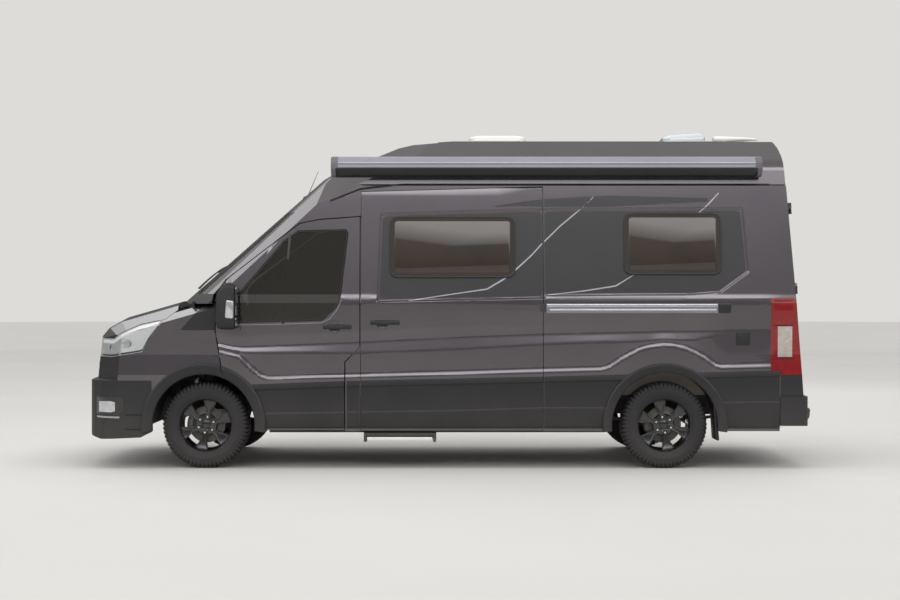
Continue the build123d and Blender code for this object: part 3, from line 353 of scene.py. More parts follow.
# The dark of an open joint: no highlight at all; behind the bumper's intake it is painted shade
JOINT_AND_SHADE_BLACK = Finish("shadowed_joint", "#08080a", "#0b0b0d", Slot.BLACK, roughness=0.7)
# Acrylic over reflective sheet, laminated: flat colour under a thin gloss
PLATE_WHITE = Finish("white_reflective_plate", "#d8d8d4", "#e0e0dc", Slot.BLACK, roughness=0.4,
                     coat=0.4)
PLATE_YELLOW = Finish("yellow_reflective_plate", "#c9a227", "#cfa92e", Slot.BLACK, roughness=0.4,
                      coat=0.4)
# Acrylic dome, vacuum-formed: milky and glossy
SMOKE_DOME = Finish("opal_acrylic_dome", "#b9c2c8", "#c8d0d5", Slot.WHITE, roughness=0.12, coat=1.0)
# Rubber, moulded and washed: nearly black with a soft sheen
RUBBER = Finish("black_window_rubber", "#141416", "#1a1a1c", Slot.BLACK, roughness=0.38,
                grain_depth=0.05)
# ABS, moulded against a polished tool: piano black
GLOSS_BLACK = Finish("polished_black_abs", "#050506", "#080809", Slot.BLACK, roughness=0.2,
                     coat=1.0)
# Vinyl film, cast and squeegeed on: darker than the paint and as glossy; painted shade in the
# handle dishes
DARK_FILM_AND_SHADE = Finish("cast_dark_vinyl_film", "#29272a", "#2d2b2e", Slot.PAINT, roughness=0.25, coat=1.0,
              coat_roughness=0.03, grain_mm=3.0)
# Vinyl, metallised and plotted: a bright silver grey
SILVER = Finish("silver_metallised_vinyl", "#a5a3a8", "#b0aeb3", Slot.PAINT, 0.6, 0.35, 0.6)
# Acrylic, moulded through-red: deep, with a clear gloss
RED_LENS = Finish("red_acrylic_lens", "#7a070b", "#8c0b0f", Slot.RED, roughness=0.12, coat=0.6,
                  patch_mm=60.0)
# Vinyl flooring, rolled out: pale and matt
FLOOR = Finish("pale_floor", "#c9c7c3", "#cdcbc7", Slot.WHITE, roughness=0.9, patch_mm=3000.0)
NODE_FINISHES = {finish.slot: finish for finish in (
    PAINT, UNDERBODY, PLASTIC, LAMP, RED_LENS, CAB_GLASS, TINTED, TYRE, RIM, STEEL,
    CABIN_PLASTIC, SEAT_CLOTH, BOARD, ANODISED, WHITE)}
_made: dict[str, bpy.types.Material] = {}


def dress(piece: Piece, finish: Finish | Pane) -> None:
    """Give a piece one finish, made once and shared.

    Args:
        piece: The piece.
        finish: Its finish.
    """
    if finish.name not in _made:
        _made[finish.name] = finish.build()
    piece.data.materials.clear()
    piece.data.materials.append(_made[finish.name])


def only(*pieces: Piece) -> None:
    """Select some pieces and nothing else, the first one active.

    Args:
        *pieces: The pieces.
    """
    bpy.ops.object.select_all(action="DESELECT")
    for piece in pieces:
        piece.select_set(True)
    bpy.context.view_layer.objects.active = pieces[0]


@contextmanager
def editing(piece: Piece, picked: bool = False) -> Iterator[None]:
    """Open a piece in edit mode.

    Args:
        piece: The piece.
        picked: Whether to keep what is picked, or else select all.

    Yields:
        Nothing, while the piece is in edit mode.
    """
    only(piece)
    bpy.ops.object.mode_set(mode="EDIT")
    if not picked:
        bpy.ops.mesh.select_all(action="SELECT")
    yield
    bpy.ops.object.mode_set(mode="OBJECT")


def on_all(operator: Callable[..., set[str]], **settings: object) -> None:
    """Run an edit-mode operator on a whole mesh."""
    bpy.ops.mesh.select_all(action="SELECT")
    operator(**settings)


def face_outwards() -> None:
    """Turn every face of the mesh in edit mode outwards."""
    on_all(bpy.ops.mesh.normals_make_consistent, inside=False)


def pick_faces(piece: Piece, wanted: Sequence[bool]) -> None:
    """Select faces in object mode.

    Args:
        piece: The piece whose faces are picked.
        wanted: Whether each face is.
    """
    mesh = piece.data
    mesh.vertices.foreach_set("select", np.zeros(len(mesh.vertices), bool))
    mesh.edges.foreach_set("select", np.zeros(len(mesh.edges), bool))
    mesh.polygons.foreach_set("select", wanted)


def apply_modifier(piece: Piece, kind: str, **settings: object) -> None:
    """Add a modifier and apply it.

    Args:
        piece: The piece.
        kind: The modifier's type name.
        **settings: Its settings.
    """
    only(piece)
    bpy.ops.object.modifier_add(type=kind)
    modifier = piece.modifiers[-1]
    for key, value in settings.items():
        setattr(modifier, key, value)
    bpy.ops.object.modifier_apply(modifier=modifier.name)


def round_edges(piece: Piece, width: float, segments: int = 2, angle: float = 30.0) -> Piece:
    """Bevel a piece's sharp edges."""
    apply_modifier(piece, "BEVEL", width=width, segments=segments, limit_method="ANGLE",
                   angle_limit=math.radians(angle), use_clamp_overlap=True)
    return piece


def settle(piece: Piece, finish: Finish | Pane, body: Body = Body.ROOT,
           replaces: tuple[str, ...] = (), angle: float = 32.0,
           weighted: bool = False) -> None:
    """Finish a piece: its place in its mesh, its shading, finish and body.

    Args:
        piece: The modelled piece.
        finish: Its finish.
        body: The CAD body it rides.
        replaces: CAD nodes that it stands for.
        angle: Edges sharper than this many degrees stay sharp.
        weighted: Whether large faces outweigh small ones in its shading.
    """
    only(piece)
    bpy.ops.object.transform_apply(location=True, rotation=True, scale=True)
    bpy.ops.object.shade_smooth_by_angle(angle=math.radians(angle))
    if weighted:
        apply_modifier(piece, "WEIGHTED_NORMAL", weight=60, keep_sharp=True)
    dress(piece, finish)
    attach(piece, body.value)
    if replaces:
        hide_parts(*replaces)
    LOG.info("made %s", piece.name)


def pair_up(piece: Piece, finish: Finish | Pane, body: Body = Body.ROOT,
            replaces: tuple[str, ...] = (), angle: float = 32.0) -> None:
    """Settle a left-hand piece and its mirror image on the right-hand body.

    Args:
        piece: The left-hand piece, whose name ends in _left.
        finish: Its finish.
        body: The left-hand body, or the root.
        replaces: Left-hand CAD nodes that it stands for.
        angle: Edges sharper than this many degrees stay sharp.
    """
    twin = mirrored(piece, piece.name.replace("_left", "_right"))
    settle(piece, finish, body, replaces, angle)
    settle(twin, finish, body.right, tuple(node.replace("_left", "_right") for node in replaces),
           angle)


def moved_to(name: str, points: Sequence[Vector]) -> Piece:
    """Name the new primitive and move its points.

    Args:
        name: The piece's name.
        points: Where each of its points goes.

    Returns:
        The piece.
    """
    piece = bpy.context.object
    piece.name = name
    for vertex, point in zip(piece.data.vertices, points):
        vertex.co = point
    return piece


def place_loop(name: str, points: Sequence[Vector], filled: bool = False) -> Piece:
    """Start a piece from a circle whose points are moved to an outline.

    Args:
        name: The piece's name.
        points: The outline.
        filled: Whether it gets a face.

    Returns:
        The outline as a piece.
    """
    bpy.ops.object.select_all(action="DESELECT")
    bpy.ops.mesh.primitive_circle_add(vertices=len(points), radius=1,
                                      fill_type="NGON" if filled else "NOTHING")
    return moved_to(name, points)


def place_rows(name: str, rows: Sequence[Sequence[Vector]]) -> Piece:
    """Start a piece from a grid whose points are moved to rows of points."""
    bpy.ops.object.select_all(action="DESELECT")
    bpy.ops.mesh.primitive_grid_add(x_subdivisions=len(rows[0]) - 1, y_subdivisions=len(rows) - 1)
    return moved_to(name, [point for row in rows for point in row])


def plate(name: str, points: Sequence[Vector], push: Vector, edge: float = 0.0,
          segments: int = 2) -> Piece:
    """Make a solid plate from an outline.

    Args:
        name: The piece's name.
        points: The outline in space.
        push: How far and which way it is extruded, in metres.
        edge: The radius of its edges.
        segments: The steps of that radius.

    Returns:
        The plate.
    """
    piece = place_loop(name, points, True)
    with editing(piece):
        bpy.ops.mesh.extrude_region_move(TRANSFORM_OT_translate={"value": push})
        face_outwards()
    return round_edges(piece, edge, segments) if edge else piece


def frame_ring(name: str, outer: Sequence[Vector], inner: Sequence[Vector], push: Vector,
               edge: float) -> Piece:
    """Make a solid frame between two outlines.

    Args:
        name: The piece's name.
        outer: The outer outline.
        inner: The inner one, of as many points.
        push: How far and which way it is extruded, in metres.
        edge: The radius of its edges.

    Returns:
        The frame.
    """
    piece = join(place_loop(name, outer), [place_loop(name + "_hole", inner)])
    with editing(piece):
        bpy.ops.mesh.bridge_edge_loops()
        on_all(bpy.ops.mesh.extrude_region_move, TRANSFORM_OT_translate={"value": push})
        face_outwards()
    return round_edges(piece, edge)


def lathe(name: str, profile: Sequence[Point], centre: Vector, start: float = 0.0,
          sweep: float = 360.0, steps: int = 72) -> Piece:
    """Spin a closed profile about an axis across the van.

    Args:
        name: The piece's name.
        profile: Points as distance along the axis and radius, in metres.
        centre: The middle of the turn.
        start: The first angle in degrees, from straight up and towards the front.
        sweep: The angle turned through.
        steps: The steps of the turn.

    Returns:
        The turned solid.
    """
    first = Matrix.Rotation(math.radians(start), 3, "Y")
    piece = place_loop(name, [centre + first @ Vector((0, *point)) for point in profile])
    with editing(piece):
        bpy.ops.mesh.spin(steps=steps, angle=-math.radians(sweep), center=centre, axis=OUT)
        on_all(bpy.ops.mesh.remove_doubles, threshold=0.00005)
        if sweep < 360:
            on_all(bpy.ops.mesh.fill_holes, sides=0)
        face_outwards()
    return piece


def grid_sheet(name: str, rows: Sequence[Sequence[Vector]], push: Vector) -> Piece:
    """Make a solid skin through rows of points, thickened by a push.

    Args:
        name: The piece's name.
        rows: Rows of as many points each.
        push: The way and distance it is thickened.

    Returns:
        The skin.
    """
    piece = place_rows(name, rows)
    with editing(piece):
        bpy.ops.mesh.extrude_region_move(TRANSFORM_OT_translate={"value": push})
        face_outwards()
    return piece


def loft(name: str, loops: Sequence[Sequence[Vector]]) -> Piece:
    """Make a closed solid through loops, capped at both ends.

    Args:
        name: The piece's name.
        loops: Loops of as many points each.

    Returns:
        The solid.
    """
    piece = place_rows(name, [[*loop, loop[0]] for loop in loops])
    with editing(piece):
        bpy.ops.mesh.remove_doubles(threshold=0.00003)
        on_all(bpy.ops.mesh.fill_holes, sides=0)
        face_outwards()
    return piece


def oval(count: int, half_a: float, half_b: float, power: float = 2.0) -> list[Point]:
    """Give the points of a superellipse.

    Args:
        count: How many points.
        half_a: Half of its width.
        half_b: Half of its height.
        power: 2 for an ellipse, more for a squarer shape.

    Returns:
        The points.
    """
    points = []
    for i in range(count):
        turn = 2 * math.pi * (i + 0.5) / count
        a, b = math.cos(turn), math.sin(turn)
        points.append((math.copysign(abs(a) ** (2 / power), a) * half_a,
                       math.copysign(abs(b) ** (2 / power), b) * half_b))
    return points


def stack(name: str, levels: Sequence[Point], shape: Sequence[Point],
          spot: Callable[[float, float, float], Vector]) -> Piece:
    """Loft an outline through several levels, scaled at each."""
    return loft(name, [[spot(a * size, b * size, level) for a, b in shape]
                       for level, size in levels])


def rod(name: str, points: Sequence[Vector], half_a: float, half_b: float, taper: float = 1.0,
        count: int = 12) -> Piece:
    """Loft an oval bar along a path.

    Args:
        name: The piece's name.
        points: The path's points in metres.
        half_a: Half of its width, level and across the path.
        half_b: Half of its height.
        taper: The size at the far end as a share of the near end's.
        count: Points round the section.

    Returns:
        The bar.
    """
    loops = []
    for i, point in enumerate(points):
        run = (points[min(i + 1, len(points) - 1)] - points[max(i - 1, 0)]).normalized()
        side = run.cross(UP if abs(run.z) < 0.95 else ALONG).normalized()
        rise = side.cross(run)
        size = 1 + (taper - 1) * i / (len(points) - 1)
        loops.append([point + side * a * size + rise * b * size
                      for a, b in oval(count, half_a, half_b, 2.6)])
    return loft(name, loops)


def join(piece: Piece, others: Sequence[Piece]) -> Piece:
    """Join pieces into one."""
    only(piece, *others)
    bpy.ops.object.join()
    return piece


def joined(name: str, pieces: Sequence[Piece]) -> Piece:
    """Join pieces into one and name it."""
    piece = join(pieces[0], pieces[1:])
    piece.name = name
    return piece


def discard(*pieces: Piece) -> None:
    """Remove masters that have been copied."""
    for piece in pieces:
        bpy.data.objects.remove(piece)


def copied(piece: Piece, name: str, change: Matrix | None = None) -> Piece:
    """Copy a piece with its own mesh.

    Args:
        piece: The piece.
        name: The copy's name.
        change: The matrix that moves its points.

    Returns:
        The copy.
    """
    twin = bpy.data.objects.new(name, piece.data.copy())
    bpy.context.scene.collection.objects.link(twin)
    if change is not None:
        twin.data.transform(change)
        if change.determinant() < 0:
            twin.data.flip_normals()
    return twin


def mirrored(piece: Piece, name: str) -> Piece:
    """Copy a piece to the other side of the van."""
    return copied(piece, name, Matrix.Scale(-1, 4, OUT))


def turned(degrees: float) -> Matrix:
    """Give the turn about an axis across the van through the origin."""
    return Matrix.Rotation(math.radians(degrees), 4, "Y")


def node_copy(node: str, name: str) -> Piece:
    """Copy a CAD node's mesh with its doubles merged.

    Args:
        node: The node.
        name: The copy's name.

    Returns:
        The copy.
    """
    piece = copied(frame["nodes"][node], name)
    with editing(piece):
        bpy.ops.mesh.remove_doubles(threshold=WELD)
    return piece


def score(piece: Piece, low: Point, high: Point, normal: Vector, places: Sequence[float]) -> None:
    """Cut a panel's faces along parallel planes, inside a box of the side view.

    Args:
        piece: The panel.
        low: The box's lowest u and z in millimetres.
        high: The box's highest u and z.
        normal: The planes' normal.
        places: Where each plane lies along that normal, in millimetres from the front axle.
    """
    mesh = piece.data
    points = np.empty(len(mesh.vertices) * 3, np.float32)
    mesh.vertices.foreach_get("co", points)
    points = points.reshape(-1, 3)
    corners = np.empty(len(mesh.loops), np.int32)
    mesh.loops.foreach_get("vertex_index", corners)
    starts = np.empty(len(mesh.polygons), np.int32)
    mesh.polygons.foreach_get("loop_start", starts)
    chosen = np.ones(len(mesh.polygons), bool)
    for axis, shift, least, most in ((0, FRONT_AXLE, low[0], high[0]), (2, 0, low[1], high[1])):
        values = (points[corners, axis] - shift) / MM
        chosen &= np.maximum.reduceat(values, starts) > least
        chosen &= np.minimum.reduceat(values, starts) < most
    pick_faces(piece, chosen)
    with editing(piece, picked=True):
        bpy.ops.mesh.hide(unselected=True)
        for place in places:
            on_all(bpy.ops.mesh.bisect, plane_co=at(0, 0, 0) + normal * (place * MM),
                   plane_no=normal, threshold=WELD)
        bpy.ops.mesh.reveal()


def along(points: Sequence[Point], place: float) -> float:
    """Read a bent line at a place.

    Args:
        points: The line's points, in rising order of their first value.
        place: The first value to read it at.

    Returns:
        The second value there, held level past the ends.
    """
    if place <= points[0][0]:
        return points[0][1]
    for (start, low), (end, high) in zip(points, points[1:]):
        if place <= end:
            return low + (high - low) * (place - start) / (end - start)
    return points[-1][1]


def smooth_step(share: float) -> float:
    """Ease a share from 0 to 1."""
    share = min(1.0, max(0.0, share))
    return share * share * (3 - 2 * share)


def blend(low: float, high: float, share: float) -> float:
    """Give the value a share of the way from low to high."""
    return low + (high - low) * share


def spaced(low: float, high: float, step: float) -> list[float]:
    """Give evenly spaced values from low to high."""
    count = max(1, round((high - low) / step))
    return [low + (high - low) * i / count for i in range(count + 1)]


def edge_distance(outline: Sequence[Point], place: Point) -> float:
    """Measure how far a point lies from an outline.

    Args:
        outline: The closed outline's points.
        place: The point.

    Returns:
        The distance, negative inside.
    """
    best = float("inf")
    inside = False
    x, z = place
    for (ax, az), (bx, bz) in zip(outline, outline[1:] + outline[:1]):
        ex, ez = bx - ax, bz - az
        share = min(1.0, max(0.0, ((x - ax) * ex + (z - az) * ez) / (ex * ex + ez * ez)))
        best = min(best, math.hypot(x - ax - ex * share, z - az - ez * share))
        if (az > z) != (bz > z) and x < ax + ex * (z - az) / ez:
            inside = not inside
    return -best if inside else best


def rect(left: float, low: float, right: float, high: float) -> list[Point]:
    """Give a rectangle's corners in order."""
    return [(left, low), (right, low), (right, high), (left, high)]


def rounded(points: Sequence[Point], radius: float, steps: int = 6) -> list[Point]:
    """Round the corners of a closed outline.

    Args:
        points: The corners in order.
        radius: The radius at every corner, cut down where a side is short.
        steps: Points laid on each corner.

    Returns:
        The rounded outline.
    """
    result = []
    count = len(points)
    for i, corner in enumerate(points):
        here = Vector(corner)
        back = Vector(points[i - 1]) - here
        ahead = Vector(points[(i + 1) % count]) - here
        turn = back.angle(ahead)
        cut = min(radius / math.tan(turn / 2), back.length * 0.49, ahead.length * 0.49)
        start = here + back.normalized() * cut
        end = here + ahead.normalized() * cut
        for k in range(steps + 1):
            share = k / steps
            middle = start.lerp(here, share).lerp(here.lerp(end, share), share)
            result.append((middle.x, middle.y))
    return result


@dataclass(frozen=True)
class SideForm:
    """The pressed shape of the body's flank: creases, ledge, shoulder and window recesses.

    Lengths are millimetres; u runs forward from the front axle and z up from the ground. The
    lines give a crease's height along the van, from the back forward.
    """

    section: Line = (
        (300, 996), (430, 1016), (700, 1024), (765, 1029), (930, 1020), (1060, 1022),
        (1350, 1029), (1420, 1018), (2312, 934))
    cladding_top: Line = (
        (-4582, 801), (-4213, 789), (-3230, 764), (-2771, 752), (-2082, 737), (-1270, 719),
        (-377, 687))
    crease: Line = (
        (-4582, 844), (-4197, 834), (-4148, 854), (-4090, 900), (-4008, 949), (-3918, 990),
        (-3820, 1014), (-3738, 1020), (-3640, 1006), (-3558, 986), (-3492, 953), (-3394, 900),
        (-3328, 854), (-3279, 826), (-3230, 815), (-2771, 803), (-2082, 782), (-1270, 760),
        (-516, 740), (-459, 756), (-377, 826), (-279, 924), (-131, 961), (0, 975))
    ledge_top: Line = (
        (-4271, 1121), (-3721, 1117), (-3230, 1105), (-2771, 1096), (-2082, 1072), (-1270, 1031),
        (-352, 992))
    ledge_low: Line = (
        (-4271, 1112), (-3967, 1047), (-3476, 1035), (-3230, 1035), (-2771, 1018), (-2082, 977),
        (-1270, 945), (-352, 950))
    recesses: tuple[Line, ...] = (
        ((-1406, 1363), (-2779, 1392), (-2779, 2117), (-1434, 2076)),
        ((-2746, 1412), (-3967, 1420), (-4202, 1438), (-4434, 1605), (-4393, 2126), (-2746, 2117)))
    recess_depth: float = 8.0
    recess_edge: float = 16.0
    softness: float = 8.0

    def flat_y(self, z: float) -> float:
        """Give the plain section's distance from the middle."""
        return along(self.section, z)

    def plane_y(self, z: float) -> float:
        """Give the flat upper flank's distance, run on below the shoulder."""
        (low, wide), (high, narrow) = self.section[-2:]
        return wide + (narrow - wide) * (z - low) / (high - low)

    def knots(self, u: float) -> list[Point]:
        """Give the pressed section at a place along the van.

        Args:
            u: The place.

        Returns:
            The section's points, as z and distance from the middle.
        """
        crease = along(self.crease, u)
        low = max(along(self.ledge_low, u), crease + 34)
        top = max(along(self.ledge_top, u), low + 20)
        share = smooth_step((u + 4290) / 400)
        return [(300, 996), (430, 1016), (640, 1023), (700, 1027), (crease - 15, 1031),
                (crease + 13, 1022), (low, 1022 + 4 * share), (top, 1021 - 7 * share),
                (top + 85, 1024 - 3 * share), (1290, 1027), (1350, 1029), (1385, 1027),
                (1420, 1018), (2312, 934)]

    def y_at(self, u: float, z: float) -> float:
        """Measure the pressed flank's distance from the middle.

        Args:
            u: The place along the van.
            z: Its height.

        Returns:
            The distance.
        """
        points = self.knots(u)
        spread = [along(points, z + step * self.softness / 2) for step in (-2, -1, 0, 1, 2)]
        pressed = sum(spread) / len(spread)
        for outline in self.recesses:
            inset = edge_distance(outline, (u, z))
            if abs(inset) < 200 or inset < 0:
                share = smooth_step(0.5 - inset / self.recess_edge)
                pressed += share * (self.plane_y(z) - self.recess_depth - pressed)
        return pressed

    def place(self, u: float, z: float, lift: float = 0.0) -> Vector:
        """Give a point of the pressed left flank, lifted off it."""
        return at(u, self.y_at(u, z) + lift, z)

    def plain(self, u: float, z: float, lift: float) -> Vector:
        """Give a point of the left flank's plain section, lifted off it."""
        return at(u, self.flat_y(z) + lift, z)

    def upper(self, u: float, z: float, lift: float) -> Vector:
        """Give a point of the flat upper flank, lifted off it."""
        return at(u, self.plane_y(z) + lift, z)

    def ribbon(self, name: str, path: Sequence[Point], widths: Sequence[float],
               lift: float = 1.2) -> Piece:
        """Model a painted band along a side-view path.

        Args:
            name: The piece's name.
            path: The middle of the band as u and z.
            widths: Its width at each path point, in millimetres.
            lift: How far its face stands off the panel.

        Returns:
            The band.
        """
        upper, lower = [], []
        for i, (point, width) in enumerate(zip(path, widths)):
            run = Vector(path[min(i + 1, len(path) - 1)]) - Vector(path[max(i - 1, 0)])
            side = Vector((-run.y, run.x)).normalized() * width / 2
            upper.append(Vector(point) + side)
            lower.append(Vector(point) - side)
        rows = [[], [], []]
        for i in range(len(path) - 1):
            pieces = max(1, round((upper[i + 1] - upper[i]).length / 45))
            for k in range(pieces + (i == len(path) - 2)):
                high = upper[i].lerp(upper[i + 1], k / pieces)
                low = lower[i].lerp(lower[i + 1], k / pieces)
                for row, mix in zip(rows, (0.0, 0.5, 1.0)):
                    row.append(self.place(*high.lerp(low, mix), lift))
        return grid_sheet(name, rows, OUT * -0.0015)


@dataclass
class PressedPanels:
    """The painted flanks and doors, pressed to the side form."""

    form: SideForm
    column_step: float = 70.0
    row_step: float = 11.0
    rise: float = 0.026
    steep: Line = ((-4300.0, -3220.0), (-560.0, -24.0))
    top_rows: tuple[float, ...] = (2150.0, 2230.0, 2290.0, 2304.0)
    corner_columns: tuple[float, ...] = (-4746.0, -4732.0, -4600.0)
    front_fade: tuple[float, float] = (-20.0, -150.0)
    back_fade: tuple[float, float] = (-4700.0, -4560.0)
    foot: float = 640.0
    waist: float = 1200.0
    shoulder: float = 1440.0
    head: float = 2330.0
    nodes: tuple[tuple[str, str, Body], ...] = (
        ("side_left", "flank_left", Body.ROOT), ("side_right", "flank_right", Body.ROOT),
        ("slide_door", "sliding_door", Body.ROOT),
        ("cab_door_left", "cab_door_skin_left", Body.CAB_DOOR),
        ("cab_door_right", "cab_door_skin_right", Body.CAB_DOOR_RIGHT))

    def cut(self, piece: Piece, low: float, high: float) -> None:
        """Cut a panel finely where the form bends.

        Args:
            piece: The panel.
            low: Its lowest u.
            high: Its highest u.
        """
        slanted = Vector((self.rise, 0, 1)).normalized()
        for foot, head, normal, places in (
                (self.foot, self.shoulder, ALONG, spaced(low, high, self.column_step)),
                (self.foot, self.waist, slanted, spaced(615, 1110, self.row_step)),
                (self.waist, self.shoulder, UP, spaced(1230, 1430, 20)),
                (self.shoulder, self.head, UP, self.top_rows)):
            score(piece, (low - 1, foot), (high + 1, head), normal, places)
        if low < self.back_fade[0]:
            score(piece, (low - 1, self.shoulder), (-4300, self.head), ALONG, self.corner_columns)
        for back, front in self.steep:
            if low < front and high > back:
                inside = max(back, low + 4), min(front, high - 4)
                score(piece, (back, self.foot), (front, 1160), ALONG, spaced(*inside, 18))
        for outline in self.form.recesses:
            self.cut_recess(piece, outline, low, high)

    def cut_recess(self, piece: Piece, outline: Line, low: float, high: float) -> None:
        """Cut a panel along a recess's edges and across its corners.

        Args:
            piece: The panel.
            outline: The recess's corners.
            low: The panel's lowest u.
            high: Its highest u.
        """
        for (ax, az), (bx, bz) in zip(outline, outline[1:] + outline[:1]):
            if max(ax, bx) < low or min(ax, bx) > high:
                continue
            box = (min(ax, bx) - 16, min(az, bz) - 16), (max(ax, bx) + 16, max(az, bz) + 16)
            normal = Vector((az - bz, 0, bx - ax)).normalized()
            level = normal.dot(Vector((ax, 0, az)))
            score(piece, *box, normal, [level + step for step in (-12, -9, -4, 4, 9, 12)])
        for u, z in outline:
            if low < u < high:
                corner = (u - 50, z - 50), (u + 50, z + 50)
                score(piece, *corner, ALONG, spaced(u - 50, u + 50, 14))
                score(piece, *corner, UP, spaced(z - 50, z + 50, 14))

    def press(self, piece: Piece) -> None:
        """Push a panel's skin to the form, fading out towards its ends.

        Args:
            piece: The panel.
        """
        (back, back_end), (front, front_end) = self.back_fade, self.front_fade
        for vertex in piece.data.vertices:
            u, z = (vertex.co.x - FRONT_AXLE) / MM, vertex.co.z / MM
            reach = abs(vertex.co.y) / MM
            if z < self.foot or z > 2300 or abs(reach - self.form.flat_y(z)) > 1.5:
                continue
            share = smooth_step((u - back) / (back_end - back))
            share *= smooth_step((front - u) / (front - front_end))
            moved = reach + share * (self.form.y_at(u, z) - reach)
            vertex.co.y = math.copysign(moved * MM, vertex.co.y)

    def build(self) -> None:
        """Make every panel."""
        for node, name, body in self.nodes:
            piece = node_copy(node, name)
            us = [(vertex.co.x - FRONT_AXLE) / MM for vertex in piece.data.vertices]
            self.cut(piece, min(us), max(us))
            self.press(piece)
            settle(piece, PAINT, body, (node,), 28.0, weighted=True)


@dataclass
class Wheel:
    """An alloy wheel with its tyre, modelled once about its own middle and copied to each corner.

    Its own frame has the middle of the wheel at the origin and its face towards +Y.
    """

    radius: float = 0.352
    lugs: int = 62
    spokes: int = 6
    nut_circle: float = 0.065
    corners: tuple[tuple[str, float, float, float], ...] = (
        ("front", 0.0, 0.8655, -10.0), ("rear", -3.750, 0.8795, 10.0))

    def around(self, piece: Piece) -> list[Piece]:
        """Copy a piece to each of the other spokes."""
        return [copied(piece, piece.name, turned(number * 360 / self.spokes))
                for number in range(1, self.spokes)]

    def sink(self, piece: Piece, *steps: Point) -> None:
        """Inset a piece's outward face.

        Args:
            piece: The piece.
            *steps: Each inset's thickness and depth, in metres.
        """
        pick_faces(piece, [face.normal.y > 0.9 for face in piece.data.polygons])
        with editing(piece, picked=True):
            for thickness, depth in steps:
                bpy.ops.mesh.inset(thickness=thickness, depth=depth)

    def tyre(self) -> Piece:
        """Model the tyre.

        Returns:
            The carcass with its shoulder lugs, tread blocks and sidewall ribs.
        """
        half = [(0.0, 0.341), (0.070, 0.341), (0.088, 0.336), (0.100, 0.326), (0.110, 0.308),
                (0.114, 0.285), (0.113, 0.262), (0.107, 0.240), (0.104, 0.238), (0.102, 0.230),
                (0.099, 0.2215), (0.094, 0.2210)]
        profile = half + [(-y, r) for y, r in reversed(half[1:])]
        carcass = lathe("tyre_carcass", profile, Vector(), steps=96)
        parts = []
        shoulder = [(0.058, 0.351), (0.084, 0.350), (0.101, 0.339), (0.111, 0.321), (0.1150, 0.302),
                    (0.1125, 0.300), (0.104, 0.312), (0.092, 0.328), (0.075, 0.338), (0.058, 0.338)]
        middle = [(0.006, 0.3517), (0.048, 0.3517), (0.048, 0.338), (0.006, 0.338)]
        pitch = 360 / self.lugs
        for index, (outline, length) in enumerate(((shoulder, 0.0235), (middle, 0.0245))):
            points = [Vector((-length / 2, y, r)) for y, r in outline]
            block = plate("tread_block", points, ALONG * length, 0.0025, 1)
            other = mirrored(block, "tread_block")
            other.data.transform(turned(pitch * 0.5))
            for number in range(self.lugs):
                turn = turned(pitch * (number + 0.25 * index))
                parts += [copied(piece, "tread_block", turn) for piece in (block, other)]
            discard(block, other)
        rib = ((0.110, 0.272), (0.1155, 0.274), (0.1155, 0.280), (0.110, 0.283))
        for side in Side:
            profile = [(side.value * y, r) for y, r in rib]
            parts.append(lathe("sidewall_rib", profile, Vector(), steps=96))
        return join(carcass, parts)

    def spoke(self) -> Piece:
        """Model one flared spoke.

        Returns:
            The spoke, with its sunk petal.
        """
        half = [(0.020, 0.036), (0.023, 0.062), (0.019, 0.100), (0.021, 0.125), (0.036, 0.152),
                (0.047, 0.180), (0.050, 0.203)]
        outline = [(-across, out) for across, out in half] + [(a, o) for a, o in reversed(half)]
        piece = plate("spoke", [Vector((x, 0.036, z)) for x, z in outline], Vector((0, 0.030, 0)))
        self.sink(piece, (0.0065, 0), (0.0035, -0.006))
        for vertex in piece.data.vertices:
            out = vertex.co.z
            vertex.co.y -= 0.010 * smooth_step((0.075 - out) / 0.05) - 0.010 * smooth_step(
                (out - 0.15) / 0.05)
        return round_edges(piece, 0.0018, 2, 25)

    def rim(self) -> Piece:
        """Model the rim.

        Returns:
            The barrel with its spokes, hub and cap.
        """
        barrel = lathe("rim_barrel", [
            (-0.095, 0.2195), (-0.085, 0.2195), (-0.082, 0.206), (0.075, 0.206), (0.084, 0.2195),
            (0.0955, 0.2195), (0.0962, 0.2150), (0.0925, 0.2115), (0.082, 0.2065), (0.074, 0.2005),
            (-0.090, 0.1985)], Vector(), steps=96)
        spoke = self.spoke()
        parts = [spoke, *self.around(spoke)]
        parts.append(lathe("hub", [
            (0.020, 0.0), (0.046, 0.0), (0.052, 0.031), (0.050, 0.036), (0.048, 0.052),
            (0.046, 0.084), (0.036, 0.092), (0.020, 0.092)], Vector(), steps=48))
        parts.append(lathe("hub_cap", [
            (0.040, 0.0), (0.066, 0.0), (0.066, 0.022), (0.064, 0.0285), (0.0585, 0.0305),
            (0.040, 0.0310)], Vector(), steps=48))
        return join(barrel, parts)

    def nuts(self) -> Piece:
        """Model the plated nuts.

        Returns:
            The nuts in a ring.
        """
        bpy.ops.object.select_all(action="DESELECT")
        bpy.ops.mesh.primitive_cylinder_add(vertices=6, radius=0.0115, depth=0.020,
                                            rotation=(math.radians(90), 0, 0))
        nut = bpy.context.object
        bpy.ops.object.transform_apply(rotation=True)
        nut.data.transform(Matrix.Translation((0, 0.058, self.nut_circle)))
        self.sink(nut, (0.0035, 0.004))
        round_edges(nut, 0.0012)
        return join(nut, self.around(nut))

    def brake(self) -> Piece:
        """Model the brake disc and its bell."""
        return lathe("brake_disc", [
            (0.0, 0.075), (0.0, 0.148), (0.004, 0.150), (0.010, 0.150), (0.010, 0.112),
            (0.018, 0.084), (0.032, 0.080), (0.032, 0.070)], Vector(), steps=72)

    def caliper(self) -> Piece:
        """Model the caliper that straddles the disc."""
        caliper = lathe("caliper", [
            (-0.020, 0.108), (-0.020, 0.160), (0.024, 0.162), (0.030, 0.150), (0.030, 0.112)],
            Vector(), start=60, sweep=52, steps=12)
        return round_edges(caliper, 0.004)

